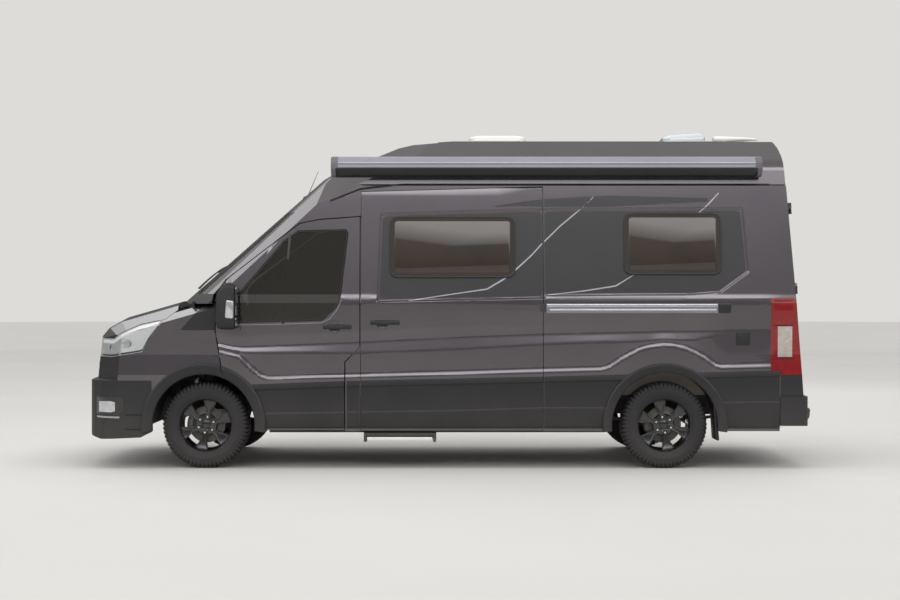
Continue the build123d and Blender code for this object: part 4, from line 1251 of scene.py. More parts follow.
    def build(self) -> None:
        """Model the wheel's pieces once and copy them to every corner."""
        kit = (("tyre", self.tyre(), TYRE), ("rim", self.rim(), RIM),
               ("wheel_nuts", self.nuts(), NUT), ("brake_disc", self.brake(), BRAKE),
               ("caliper", self.caliper(), BRAKE))
        for corner, u, plane, phase in self.corners:
            centre = Matrix.Translation((FRONT_AXLE + u, plane, self.radius))
            hub = Body.KNUCKLE if corner == "front" else Body.ROOT
            wheel = Body(f"wheel_{corner}_left")
            for side in Side:
                flip = Matrix.Scale(side.value, 4, OUT)
                end = f"{corner}_{side.name.lower()}"
                for name, piece, finish in kit:
                    still = name == "caliper"
                    turn = Matrix.Identity(4) if still else turned(phase)
                    body = hub if still else wheel
                    made = copied(piece, f"{name}_of_{end}", flip @ centre @ turn)
                    settle(made, finish, body if side is Side.LEFT else body.right,
                           (f"{name}_{end}",) if name in ("tyre", "rim") else ())
        discard(*(piece for _, piece, _ in kit))


_trees: dict[str, BVHTree] = {}


@dataclass(frozen=True)
class Probe:
    """Finds the first CAD surface along a straight line, so that a detail sits on it."""

    nodes: tuple[str, ...]

    def hit(self, start: Vector, way: Vector, lift: float = 0.0) -> Vector:
        """Give the first point along a line.

        Args:
            start: Where the line starts.
            way: Which way it runs, a unit long.
            lift: How far the point is drawn back along it, in millimetres.

        Returns:
            The point.
        """
        best, nearest = None, math.inf
        for name in self.nodes:
            if name not in _trees:
                mesh = frame["nodes"][name].data
                _trees[name] = BVHTree.FromPolygons(
                    [vertex.co for vertex in mesh.vertices],
                    [tuple(face.vertices) for face in mesh.polygons])
            point, _, _, far = _trees[name].ray_cast(start, way)
            if point is not None and far < nearest:
                best, nearest = point, far
        assert best is not None, (self.nodes, start, way)
        return best - way * lift * MM

    def wrap(self, u: float, z: float, around: Point, lift: float = 0.0) -> Vector:
        """Give a corner's point at a place along and up, found by turning about the corner.

        Args:
            u: The place along the van.
            z: Its height.
            around: The corner's centre in plan, u and y; in front of or behind it in u.
            lift: How far the point stands off the surface, in millimetres.

        Returns:
            The point.
        """
        centre = at(*around, z)
        ahead = 1 if around[0] > -2000 else -1
        if ahead * (u - around[0]) <= 0:
            return self.side(u, z, lift)
        low, high = 0.0, 90.0
        out = OUT
        point = centre
        for _ in range(16):
            middle = (low + high) / 2
            turn = math.radians(middle)
            out = Vector((ahead * math.cos(turn), math.sin(turn), 0))
            point = self.hit(centre + out * 1.5, -out)
            if ahead * (point.x - FRONT_AXLE - u * MM) > 0:
                low = middle
            else:
                high = middle
        return point + out * lift * MM

    def side(self, u: float, z: float, lift: float = 0.0) -> Vector:
        """Give the left side's point at a place in millimetres, lifted off it."""
        return self.hit(Vector((FRONT_AXLE + u * MM, 1.4, z * MM)), -OUT, lift)

    def front(self, y: float, z: float, lift: float = 0.0) -> Vector:
        """Give the nose's point at a place in millimetres, lifted off it."""
        return self.hit(Vector((4.0, y * MM, z * MM)), -ALONG, lift)

    def rear(self, y: float, z: float, lift: float = 0.0) -> Vector:
        """Give the tail's point at a place in millimetres, lifted off it."""
        return self.hit(Vector((-4.0, y * MM, z * MM)), ALONG, lift)

    def top(self, u: float, y: float, lift: float = 0.0) -> Vector:
        """Give the roof's point at a place in millimetres, lifted off it."""
        return self.hit(Vector((FRONT_AXLE + u * MM, y * MM, 4.0)), -UP, lift)


@dataclass(frozen=True)
class Skin:
    """A thin skin on a corner's surface, between two side-view lines of u and z.

    Its columns are the first u, the last and the step; a line of one point is level.
    """

    name: str
    finish: Finish
    low: Line
    high: Line
    columns: tuple[float, float, float]
    rows: int
    lift: float
    thick: float
    slot: Slot | None = None

    def build(self, probe: Probe, around: Point) -> None:
        """Model the skin on both sides.

        Args:
            probe: The surface.
            around: The corner's centre in plan, u and y.
        """
        rows = []
        for j in range(self.rows):
            row = []
            for u in spaced(*self.columns):
                top, foot = along(self.high, u), along(self.low, u)
                z = top + (foot - top) * j / (self.rows - 1)
                row.append(probe.wrap(u, z, around, self.lift))
            rows.append(row)
        sheet = grid_sheet(self.name, rows, OUT * (-self.thick * MM))
        pair_up(sheet, self.finish)


@dataclass
class Cladding:
    """The unpainted lower body panels: a rounded top edge, a bright chamfer and a sill bead."""

    form: SideForm
    arch_radius: float = 506.0
    bead: Line = ((-4582, 550), (-4213, 547), (-3230, 502), (-2771, 502), (-2082, 481), (-377, 453))
    drops: Line = ((0, -3), (1, 5), (5, 10), (12, 12), (42, 12.5), (49, 7), (60, 5.5))
    falls: Line = ((12, 5.5), (3, 5.5), (0, 8.5), (-6, 10.5), (-20, 11.0))
    foot: Line = ((352, 11), (345, 10), (330, 3), (320, -6), (312, -22))
    axle_z: float = 352.0
    middle_z: float = 560.0
    column_step: float = 75.0

    def edge(self, limit: float | Point, z: float) -> float:
        """Give a panel's end at a height.

        Args:
            limit: A plain u, or an arch as its centre and side.
            z: The height.

        Returns:
            The end's u.
        """
        if not isinstance(limit, tuple):
            return limit
        centre, side = limit
        rise = max(0.0, z - self.axle_z)
        return centre + side * math.sqrt(max(0.0, self.arch_radius ** 2 - rise ** 2))

    def levels(self, u: float) -> list[Point]:
        """Give the rows' heights and lifts."""
        top, bead = along(self.form.cladding_top, u), along(self.bead, u)
        return [*((top - drop, lift) for drop, lift in self.drops),
                *((bead + rise, lift) for rise, lift in self.falls), *self.foot]

    def panel(self, name: str, back: float | Point, front: float | Point) -> Piece:
        """Model one panel.

        Args:
            name: The piece's name.
            back: Its rear end, a plain u or an arch.
            front: Its front end.

        Returns:
            The panel.
        """
        first, last = self.edge(back, self.middle_z), self.edge(front, self.middle_z)
        steps = max(2, round((last - first) / self.column_step))
        rows = []
        for index in range(len(self.levels(first))):
            row = []
            for i in range(steps + 1):
                u = blend(first, last, i / steps)
                for _ in range(3):
                    z = self.levels(u)[index][0]
                    u = blend(self.edge(back, z), self.edge(front, z), i / steps)
                row.append(self.form.place(u, *self.levels(u)[index]))
            rows.append(row)
        return grid_sheet(name, rows, OUT * -0.008)

    def build(self) -> None:
        """Model every panel on both sides."""
        behind, ahead = (-3750.0, -1), (-3750.0, 1)
        for name, body, back, front in (
                ("cladding_rear_left", Body.ROOT, -4684.0, behind),
                ("cladding_flap_left", Body.ROOT, -1266.0, -1157.0),
                ("cladding_door_left", Body.CAB_DOOR, -1139.0, (8.0, -1))):
            pair_up(self.panel(name, back, front), PLASTIC, body)
        for name, back, front in (("cladding_middle_left", ahead, -2767.0),
                                  ("cladding_slide", -2757.5, -1274.5)):
            settle(self.panel(name, back, front), PLASTIC)
        middle = self.panel("middle", ahead, -1274.5)
        settle(mirrored(middle, "cladding_middle_right"), PLASTIC)
        discard(middle)


@dataclass
class ArchTrims:
    """The moulded lips round the wheel arches, and the black triangles at the door corners.

    Its lengths are in metres.
    """

    form: SideForm
    centre_z: float = 0.352
    front: Point = (0.008, 0.418)
    rear: Point = (-3.750, 0.432)
    outer: float = 0.508
    sweep: float = 96.0
    shut: tuple[Point, Point] = ((-0.131, 0.834), (-0.156, 0.720))

    def ring(self, name: str, place: Point) -> Piece:
        """Model one lip as a turned section with a rolled inner edge and a raised outer one.

        Args:
            name: The piece's name.
            place: The arch's middle from the front axle, and the lip's inner radius.

        Returns:
            The lip.
        """
        u, inner = place
        section = ((0.985, inner), (1.029, inner - 0.001), (1.0345, inner + 0.003),
                   (1.0375, inner + 0.010), (1.0405, inner + 0.030), (1.0455, self.outer - 0.022),
                   (1.0460, self.outer - 0.014), (1.0440, self.outer - 0.007),
                   (1.0380, self.outer - 0.001), (1.020, self.outer), (0.985, inner + 0.010))
        centre = Vector((FRONT_AXLE + u, 0, self.centre_z))
        return lathe(name, section, centre, -self.sweep, 2 * self.sweep, 84)

    def build(self) -> None:
        """Model the lips and the triangles on both sides."""
        (top_u, top_z), (low_u, low_z) = self.shut
        point = Vector((FRONT_AXLE + top_u, 0, top_z))
        normal = Vector((top_z - low_z, 0, low_u - top_u)).normalized()
        lip = self.ring("arch_lip_front_left", self.front)
        for name, body, ahead, nodes in (
                ("arch_lip_front_left", Body.ROOT, True, ()),
                ("arch_lip_door_left", Body.CAB_DOOR, False, ("door_trim_left",))):
            part = copied(lip, name)
            with editing(part):
                bpy.ops.mesh.bisect(plane_co=point + normal * (0.0045 if ahead else -0.0045),
                                    plane_no=normal, use_fill=True, clear_inner=ahead,
                                    clear_outer=not ahead)
            pair_up(part, PLASTIC, body, nodes)
        discard(lip)
        pair_up(self.ring("arch_lip_rear_left", self.rear), PLASTIC)
        corners = node_copy("body_trims", "corner_triangles")
        pick_faces(corners, [face.center.z < 0.95 for face in corners.data.polygons])
        with editing(corners, picked=True):
            bpy.ops.mesh.delete(type="FACE")
        settle(corners, PLASTIC, replaces=("body_trims",))
        sail = rounded([(-100, 1142), (-120, 1460), (-166, 1532), (-268, 1400), (-262, 1142)], 14)
        points = [self.form.plain(u, z, 1) for u, z in sail]
        pair_up(plate("mirror_sail_left", points, OUT * 0.007, 0.002), PLASTIC, Body.CAB_DOOR)


@dataclass
class SideGlazing:
    """The living windows' frames, the dark film in the recesses and the painted stripes."""

    form: SideForm
    windows: tuple[Quad, ...] = ((-2020, 1809, 1030, 504), (-3818, 1836, 800, 510))
    corner: float = 75.0
    rim: float = 15.0
    films: tuple[Line, ...] = (
        ((-1424, 1384), (-2751, 1410), (-2751, 2100), (-1450, 2060)),
        ((-2773, 1430), (-3960, 1437), (-4190, 1456), (-4414, 1614), (-4376, 2108), (-2773, 2100)))

    def outline(self, window: Quad, inset: float, radius: float,
                steps: int, lift: float) -> list[Vector]:
        """Lay a window's rounded outline on the flat upper flank.

        Args:
            window: Its middle as u and z, its width and its height.
            inset: How far it is drawn in.
            radius: The radius of its corners.
            steps: Points laid on each corner.
            lift: How far it stands off the flank.

        Returns:
            The outline.
        """
        u, z, width, height = window
        half_w, half_h = width / 2 - inset, height / 2 - inset
        corners = rect(u - half_w, z - half_h, u + half_w, z + half_h)
        return [self.form.upper(a, b, lift) for a, b in rounded(corners, radius, steps)]

    def build(self) -> None:
        """Model frames, panes, films and stripes on both sides."""
        for place, window in zip(("front", "rear"), self.windows):
            outer = self.outline(window, 0, self.corner, 10, 1.0)
            inner = self.outline(window, self.rim, self.corner - self.rim * 0.7, 10, 1.0)
            ring = frame_ring(f"window_frame_{place}_left", outer, inner, OUT * 0.0075, 0.0022)
            pair_up(ring, RUBBER)
            pane = self.outline(window, self.rim + 26, 34, 8, 5.0)
            pair_up(plate(f"window_bow_{place}_left", pane, OUT * 0.0028, 0.0018), TINTED)
        for place, outline in zip(("front", "rear"), self.films):
            points = [self.form.upper(u, z, -self.form.recess_depth - 0.6)
                      for u, z in rounded(outline, 42)]
            pair_up(plate(f"recess_film_{place}_left", points, OUT * 0.0016), DARK_FILM_AND_SHADE)
        bands = (
            ("stripe_front", DARK_FILM_AND_SHADE, ((-2368, 2140), (-2560, 2160), (-2753, 2170)), (10, 30, 62)),
            ("stripe_rear", DARK_FILM_AND_SHADE, ((-2771, 2171), (-3300, 2185), (-4110, 2196)), (64, 92, 30)),
            ("swoosh_low", SILVER, ((-1662, 1369), (-2000, 1420), (-2302, 1464), (-2441, 1546),
                                    (-2529, 1615), (-2660, 1735), (-2753, 1836)),
             (5, 8, 11, 13, 12, 10, 9)),
            ("swoosh_high", SILVER, ((-2771, 1853), (-2900, 1979), (-3060, 2113), (-3178, 2222)),
             (9, 9, 11, 12)),
            ("swoosh_rear", SILVER, ((-2790, 1416), (-3100, 1450), (-3352, 1490), (-3507, 1585)),
             (4, 9, 11, 6)),
            ("short_line", SILVER, ((-4033, 2085), (-4120, 2165), (-4201, 2253)), (8, 10, 8)))
        for name, finish, path, widths in bands:
            band = self.form.ribbon(name + "_left", path[::-1], widths[::-1])
            pair_up(band, finish, angle=40)


@dataclass
class CabDoorDetails:
    """The cab doors' glass seal, divider and bright lower line."""

    form: SideForm
    glass: Line = (
        (-250, 1185), (-250, 1400), (-640, 1860), (-760, 1945), (-1150, 1955), (-1172, 1925),
        (-1112, 1400), (-1075, 1310), (-960, 1205))

    def shrink(self, points: Sequence[Point], inset: float) -> list[Point]:
        """Draw an outline in towards the middle of the glass.

        Args:
            points: The outline.
            inset: How far each point moves.

        Returns:
            The smaller outline.
        """
        middle = sum((Vector(point) for point in self.glass), Vector((0, 0))) / len(self.glass)
        result = []
        for i, point in enumerate(points):
            here = Vector(point)
            run = Vector(points[(i + 1) % len(points)]) - Vector(points[i - 1])
            side = Vector((-run.y, run.x)).normalized() * inset
            spot = here + side
            if (spot - middle).length > (here - middle).length:
                spot = here - side
            result.append(tuple(spot))
        return result

    def lie(self, points: Sequence[Point]) -> list[Vector]:
        """Lay side-view points a millimetre under the plain section."""
        return [self.form.plain(u, z, -1) for u, z in points]

    def build(self) -> None:
        """Model the details on both doors."""
        glass = rounded(self.glass, 26, 5)
        outer, inner = self.lie(self.shrink(glass, -9)), self.lie(self.shrink(glass, 15))
        pair_up(frame_ring("glass_seal_left", outer, inner, OUT * 0.005, 0.0015),
                RUBBER, Body.CAB_DOOR)
        bar = self.lie([(-683, 1918), (-702, 1918), (-650, 1180), (-630, 1180)])
        pair_up(plate("glass_divider_left", bar, OUT * 0.0055, 0.001), RUBBER, Body.CAB_DOOR)
        path = ((-1124, 1392), (-1082, 1296), (-1020, 1222), (-955, 1190), (-600, 1178),
                (-262, 1172))
        line = self.form.ribbon("belt_line_left", path, (5, 8, 8, 8, 8, 8), 4.5)
        pair_up(line, ANODISED, Body.CAB_DOOR, angle=40)


def handle(name: str, form: SideForm, u: float, z: float, length: float, tall: float,
           dish: tuple[float, float, float]) -> tuple[Piece, Piece]:
    """Model a bar handle bowed off the panel, with the round dish behind it.

    Args:
        name: The start of both pieces' names.
        form: The pressed flank it sits on.
        u: The handle's middle along the van.
        z: Its middle's height.
        length: Its length.
        tall: Its height.
        dish: The dish's middle along and up, and its radius.

    Returns:
        The bar and the dish.
    """
    loops = []
    for i in range(17):
        share = i / 16 * 2 - 1
        bow = 1 - share ** 4
        thick = 9 + 3 * bow
        half = tall / 2 * (1 - 0.35 * abs(share) ** 3)
        base = form.place(u + share * length / 2, z)
        loops.append([base + Vector((0, (8 + 17 * bow + a) * MM, b * MM))
                      for a, b in oval(16, thick / 2, half, 3)])
    bar = loft(name + "_bar_left", loops)
    feet = []
    for end in (-1, 1):
        base = form.place(u + end * (length / 2 - 13), z, -2)
        foot = [base + Vector((a * MM, 0, b * MM)) for a, b in oval(16, 14, tall / 2, 3)]
        feet.append(plate("foot", foot, OUT * 0.016, 0.002))
    join(bar, feet)
    across, up, radius = dish
    centre = form.place(across, up)
    base, centre.y = centre.y, 0
    bowl = lathe(name + "_dish_left", [
        (base - 0.004, 0.0), (base + 0.0004, 0.0), (base + 0.0006, radius * MM * 0.80),
        (base + 0.0024, radius * MM * 0.90), (base + 0.0026, radius * MM * 0.96),
        (base + 0.0008, radius * MM), (base - 0.004, radius * MM)], centre, steps=40)
    return bar, bowl


@dataclass
class SideFittings:
    """The door handles, rail, gutter strip, flaps, step nosing and mud flaps."""

    form: SideForm

    def flap(self, inset: float, radius: float, lift: float) -> list[Vector]:
        """Give the service flap's outline on the panel, drawn in by an inset."""
        corners = rect(-4328 - inset, 1006 + inset, -4443 + inset, 1113 - inset)
        return [self.form.place(u, z, lift) for u, z in rounded(corners, radius)]

    def build(self) -> None:
        """Model the fittings."""
        bar, bowl = handle("cab_handle", self.form, -1082, 1154, 232, 36, (-1061, 1160, 54))
        pair_up(bar, PLASTIC, Body.CAB_DOOR)
        # The dish is dressed in the dark film: painted shade in its hollow
        pair_up(bowl, DARK_FILM_AND_SHADE, Body.CAB_DOOR)
        bar, bowl = handle("slide_handle", self.form, -1471, 1190, 238, 36, (-1447, 1192, 54))
        settle(bar, PLASTIC)
        # The dish is dressed in the dark film: painted shade in its hollow
        settle(bowl, DARK_FILM_AND_SHADE)
        self.rail()
        self.gutter()
        settle(plate("service_flap", self.flap(0, 8, -1), OUT * 0.004, 0.0012), PLASTIC)
        settle(frame_ring("service_flap_seam", self.flap(6, 7, 2.4), self.flap(12, 6, 2.4),
                          OUT * 0.0022, 0.0006), PLASTIC)
        flap = [at(u, 800, z) for u, z in ((-4148, 520), (-4166, 235), (-4180, 228),
                                           (-4196, 232), (-4170, 520))]
        pair_up(plate("mud_flap_left", flap, OUT * 0.205, 0.003), RUBBER)
        nosing = [at(u, 996, 241) for u in spaced(-1855, -1325, 60)]
        settle(rod("step_nosing", nosing, 0.008, 0.0165), WHITE, Body.STEP)

    def rail(self) -> None:
        """Model the sliding door's rail: two bright strips and an end piece."""
        for name, z, half, back, front in (("rail_strip_high", 1330, 0.011, -4176, -2790),
                                           ("rail_strip_low", 1294, 0.009, -4168, -2812)):
            line = [at(u, 1037, z) for u in spaced(back, front, 140)]
            settle(rod(name, line, 0.0035, half), SILVER_TRIM)
        levels = ((-4286, 0.7), (-4283, 0.93), (-4276, 1), (-4188, 1), (-4182, 0.93))
        settle(stack("rail_end", levels, oval(20, 10.5, 41, 5),
                     lambda a, b, u: at(u, 1030 + a, 1308 + b)), RUBBER)

    def gutter(self) -> None:
        """Model the rubber strip along the roof's gutter."""
        probe = Probe(("side_left", "roof", "slide_door"))
        line = ((-4700, 2322), (-1600, 2322), (-1270, 2287), (-1008, 2182))
        rows = [[probe.side(u, along(line, u) + rise, lift) for u in spaced(-4620, -1020, 60)]
                for rise, lift in ((9, 1.5), (0, 5.5), (-9, 1.5))]
        pair_up(grid_sheet("gutter_strip_left", rows, OUT * -0.006), RUBBER)


@dataclass
class Mirrors:
    """The door mirrors: a rounded shell with its glass, clear indicator and arm."""

    middle: Point = (-195, 1330)
    outline: Line = (
        (-112, 1190), (-150, 1137), (-272, 1137), (-280, 1200), (-275, 1490), (-235, 1519),
        (-165, 1500), (-120, 1400))
    stations: Line = (
        (1069, 0.86), (1074, 0.94), (1084, 0.99), (1110, 1.0), (1180, 1.0), (1205, 0.985),
        (1222, 0.94), (1230, 0.88), (1234, 0.78))

    def build(self) -> None:
        """Model both mirrors."""
        u, z = self.middle
        shape = [(a - u, b - z) for a, b in rounded(self.outline, 36, 4)]
        shell = stack("mirror_shell_left", self.stations, shape,
                      lambda a, b, y: at(u + a, y, z + b))
        arm = [at(-205, y, height) for y, height in ((1020, 1165), (1045, 1168), (1066, 1175),
                                                     (1085, 1185))]
        join(shell, [rod("arm", arm, 0.052, 0.026)])
        pair_up(shell, PLASTIC, Body.CAB_DOOR, ("mirror_left",))
        for name, low, high in (("mirror_glass_left", 1248, 1482),
                                ("mirror_low_glass_left", 1162, 1236)):
            pane = [at(-279.5, *point) for point in rounded(rect(1088, low, 1214, high), 20, 5)]
            pair_up(plate(name, pane, ALONG * -0.0045, 0.0012), MIRROR, Body.CAB_DOOR)
        lens = rounded([(-196, 1232), (-262, 1226), (-266, 1366), (-206, 1372)], 14, 5)
        points = [at(a, 1226, b) for a, b in lens]
        pair_up(plate("indicator_lens_left", points, OUT * 0.0098, 0.003), CLEAR_LENS,
                Body.CAB_DOOR)


@dataclass
class Awning:
    """The awning cassette: an extruded case with a black lower lip and moulded end caps."""

    middle: Point = (970, 2465)
    section: Line = (
        (905, 2412), (905, 2545), (950, 2550), (1010, 2540), (1040, 2495), (1040, 2440),
        (1000, 2392), (945, 2377))
    lip: Line = (
        (1024, 2434), (1040, 2458), (1040, 2440), (1000, 2392), (945, 2377), (940, 2388),
        (990, 2404))
    back: float = -4545.0
    front: float = -1030.0

    def slab(self, name: str, points: Sequence[Point], back: float, front: float,
             size: float = 1.0, edge: float = 0.0) -> Piece:
        """Extrude a section along the van."""
        centre = Vector(self.middle)
        loop = [at(back, *(centre + (Vector(point) - centre) * size)) for point in points]
        return plate(name, loop, ALONG * (front - back) * MM, edge)

    def build(self) -> None:
        """Model the case on its brackets, the lip, a groove and the caps."""
        shape = rounded(self.section, 22, 5)
        case = self.slab("awning_case_skin", shape, self.back + 34, self.front - 34, 0.985)
        brackets = [stack("bracket", ((860, 1), (880, 1), (915, 1)), oval(16, 45, 40, 5),
                          lambda a, b, y: at(u + a, y, self.middle[1] + b))
                    for u in (-1600, -2300, -3100, -3800, -4400)]
        settle(join(case, brackets), AWNING_GREY, replaces=("awning_case",))
        settle(self.slab("awning_lip", rounded(self.lip, 5, 3), self.back + 38, self.front - 38),
               RUBBER)
        settle(self.slab("awning_groove", rect(1030, 2484, 1039.4, 2479), self.back + 40,
                         self.front - 40), RUBBER)
        for name, back, front in (("awning_cap_back", self.back, self.back + 62),
                                  ("awning_cap_front", self.front - 62, self.front)):
            settle(self.slab(name, shape, back, front, edge=0.006), CAP_GREY)


@dataclass
class FrontEnd:
    """The headlamps' insides, the grille's mesh, the fog lamps, the plate and the wipers."""

    corner: Point = (560.0, 600.0)
    lamp_low: Line = ((330, 1214), (459, 1050), (508, 956), (787, 912), (960, 912))
    lamp_high: Line = ((330, 1215), (541, 1168), (664, 1108), (770, 1050), (960, 1050))

    def raised(self, line: Sequence[Point], rise: float) -> Line:
        """Give a side-view line moved up by a distance."""
        return tuple((u, z + rise) for u, z in line)

    def headlamps(self) -> None:
        """Model bright fluted reflectors, a black bezel and two projectors under each lens."""
        lens = Probe(("headlamps", "front_wings", "bonnet", "grille", "front_bumper"))
        columns = (372, 900, 22)
        rows = []
        for j in range(13):
            row = []
            for i, u in enumerate(spaced(*columns)):
                top, foot = along(self.lamp_high, u) - 14, along(self.lamp_low, u) + 14
                flute = 5 if (i + j // 3) % 2 else 0
                row.append(lens.wrap(u, top + (foot - top) * j / 12, self.corner, -8 - flute))
            rows.append(row)
        pair_up(grid_sheet("lamp_reflector_left", rows, OUT * -0.004), CHROME, angle=12)
        Skin("lamp_day_strip_left", WHITE, self.raised(self.lamp_high, -34),
             self.raised(self.lamp_high, -4), columns, 3, -4, 2, Slot.LAMP).build(lens, self.corner)
        levels = ((-20, 0.55), (-10, 0.9), (-2, 1.0), (0, 0.92), (-4, 0.80), (-2, 0.5), (0, 0.15))
        for name, u, z, size in (("lamp_projector_outer_left", 640, 1018, 44),
                                 ("lamp_projector_inner_left", 790, 978, 42)):
            middle = lens.wrap(u, z, self.corner, -4)
            out = middle - at(*self.corner, z)
            out.z = 0
            out.normalize()
            side = out.cross(UP)
            pair_up(stack(name, levels, oval(28, size, size * 0.8), lambda a, b, depth:
                          middle + out * (depth * MM) + (side * a + UP * b) * MM), DARK_CHROME)
        Skin("lamp_bezel_left", RUBBER, self.raised(self.lamp_low, 1),
             self.raised(self.lamp_low, 13), columns, 2, 1.0, 3, Slot.LAMP).build(lens, self.corner)

    def grille(self) -> None:
        """Model a woven mesh behind the bars and the number plate; the mesh is drawn coarser."""
        probe = Probe(("grille",))
        wires = [rod("wire", [Vector((0, lean * k * 15 * MM, k * 24 * MM)) for k in (-1, 0, 1)],
                     0.0022, 0.0022, count=6) for lean in (-1, 1)]
        bars = []
        for z, half in ((790, 460), (846, 490), (902, 508), (958, 508), (1010, 490)):
            for y in spaced(-half, half, 30):
                depth = probe.front(y, 745, -26).x - 0.012 * (z - 745) / 150
                place = Matrix.Translation((depth, y * MM, z * MM))
                bars += [copied(wire, "wire", place) for wire in wires]
        discard(*wires)
        settle(joined("grille_mesh", bars), RUBBER)
        for name, grow, depth, finish in (("front_plate_frame", 6, 0.006, RUBBER),
                                          ("front_plate", 0, 0.008, PLATE_WHITE)):
            corners = rect(-262 - grow, 728 - grow, 262 + grow, 838 + grow)
            settle(plate(name, [at(1013.5, *point) for point in corners], ALONG * depth, 0.002),
                   finish)

    def bumper(self) -> None:
        """Model the fog-lamp pods, the bright blade under them and the intake's edge."""
        probe = Probe(("front_bumper",))
        for skin in (
                Skin("fog_surround_left", GLOSS_BLACK, ((647, 470), (700, 440), (902, 446)),
                     ((647, 560), (690, 586), (902, 582)), (655, 895, 20), 6, 2.5, 6),
                Skin("fog_lamp_left", CLEAR_LENS, ((721, 470), (760, 460), (869, 464)),
                     ((721, 540), (760, 552), (869, 548)), (725, 868, 14), 6, 5.5, 6),
                Skin("fog_blade_left", SILVER_TRIM, ((690, 412), (890, 416)),
                     ((690, 426), (890, 430)), (690, 890, 20), 3, 3.5, 5),
                Skin("bumper_line_high_left", JOINT_AND_SHADE_BLACK, ((0, 435),), ((0, 445),),
                     (450, 640, 24), 3, 2.2, 4),
                Skin("bumper_line_low_left", JOINT_AND_SHADE_BLACK, ((0, 317),), ((0, 327),),
                     (450, 640, 24), 3, 2.2, 4)):
            skin.build(probe, self.corner)
        self.shelf(probe)
        # A near-black plate closes the intake: painted shade for the dark inside it
        hole = rounded([(-585, 322), (585, 322), (575, 540), (-575, 540)], 20, 3)
        settle(plate("intake_backing", [at(880, *point) for point in hole], ALONG * 0.012, 0.002),
               JOINT_AND_SHADE_BLACK)
        eye = probe.wrap(836, 375, self.corner, 1.0)
        pair_up(stack("parking_sensor_left", ((-4, 1.0), (0, 1.0), (1.2, 0.8)), oval(20, 12, 11),
                      lambda a, b, depth: eye + (OUT + ALONG) * (depth * MM)
                      + (ALONG * a * 0.6 - OUT * a * 0.6 + UP * b) * MM), RUBBER)

    def shelf(self, probe: Probe) -> None:
        """Model the shelf that closes the bumper's top against the nose.

        Args:
            probe: The bumper's surface.
        """
        places = [probe.side(u, 700) for u in spaced(434, 560, 30)]
        places += [probe.wrap(u, 700, self.corner) for u in spaced(600, 945, 28)]
        places += [probe.front(y, 700) for y in spaced(640, -640, 80)]
        places += [Vector((p.x, -p.y, p.z)) for p in reversed(places[:-17])]
        rows = []
        for inset, z in ((-0.006, 0.7170), (-0.030, 0.7215), (-0.060, 0.7210), (-0.150, 0.7180)):
            row = []
            for i, point in enumerate(places):
                run = places[min(i + 1, len(places) - 1)] - places[max(i - 1, 0)]
                run.z = 0
                out = run.cross(UP).normalized()
                if out.dot(point - Vector((FRONT_AXLE + 0.3, 0, point.z))) < 0:
                    out = -out
                spot = point + out * inset
                row.append(Vector((spot.x, spot.y, z)))
            rows.append(row)
        settle(grid_sheet("bumper_shelf", rows, UP * -0.005), PLASTIC)

    def wipers(self) -> None:
        """Model two wiper arms and their blades on the windscreen's foot."""
        probe = Probe(("windscreen", "scuttle", "bonnet", "roof"))
        for name, arm, blade in (
                ("wiper_left", ((120, 520), (-40, 40)), ((-10, 300), (-70, -260))),
                ("wiper_right", ((130, -120), (-40, -500)), ((-15, -330), (-90, -690)))):
            lines = []
            for (start, end), steps, lift, drop in ((arm, 6, 26, 8), (blade, 8, 13, 0)):
                lines.append([probe.top(blend(start[0], end[0], k / steps),
                                        blend(start[1], end[1], k / steps),
                                        lift - drop * k / steps) for k in range(steps + 1)])
            piece = rod(name, lines[0], 0.011, 0.007, 0.6)
            join(piece, [rod("blade", lines[1], 0.007, 0.009)])
            settle(piece, RUBBER)

    def build(self) -> None:
        """Model the whole front."""
        for part in (self.headlamps, self.grille, self.bumper, self.wipers):
            part()


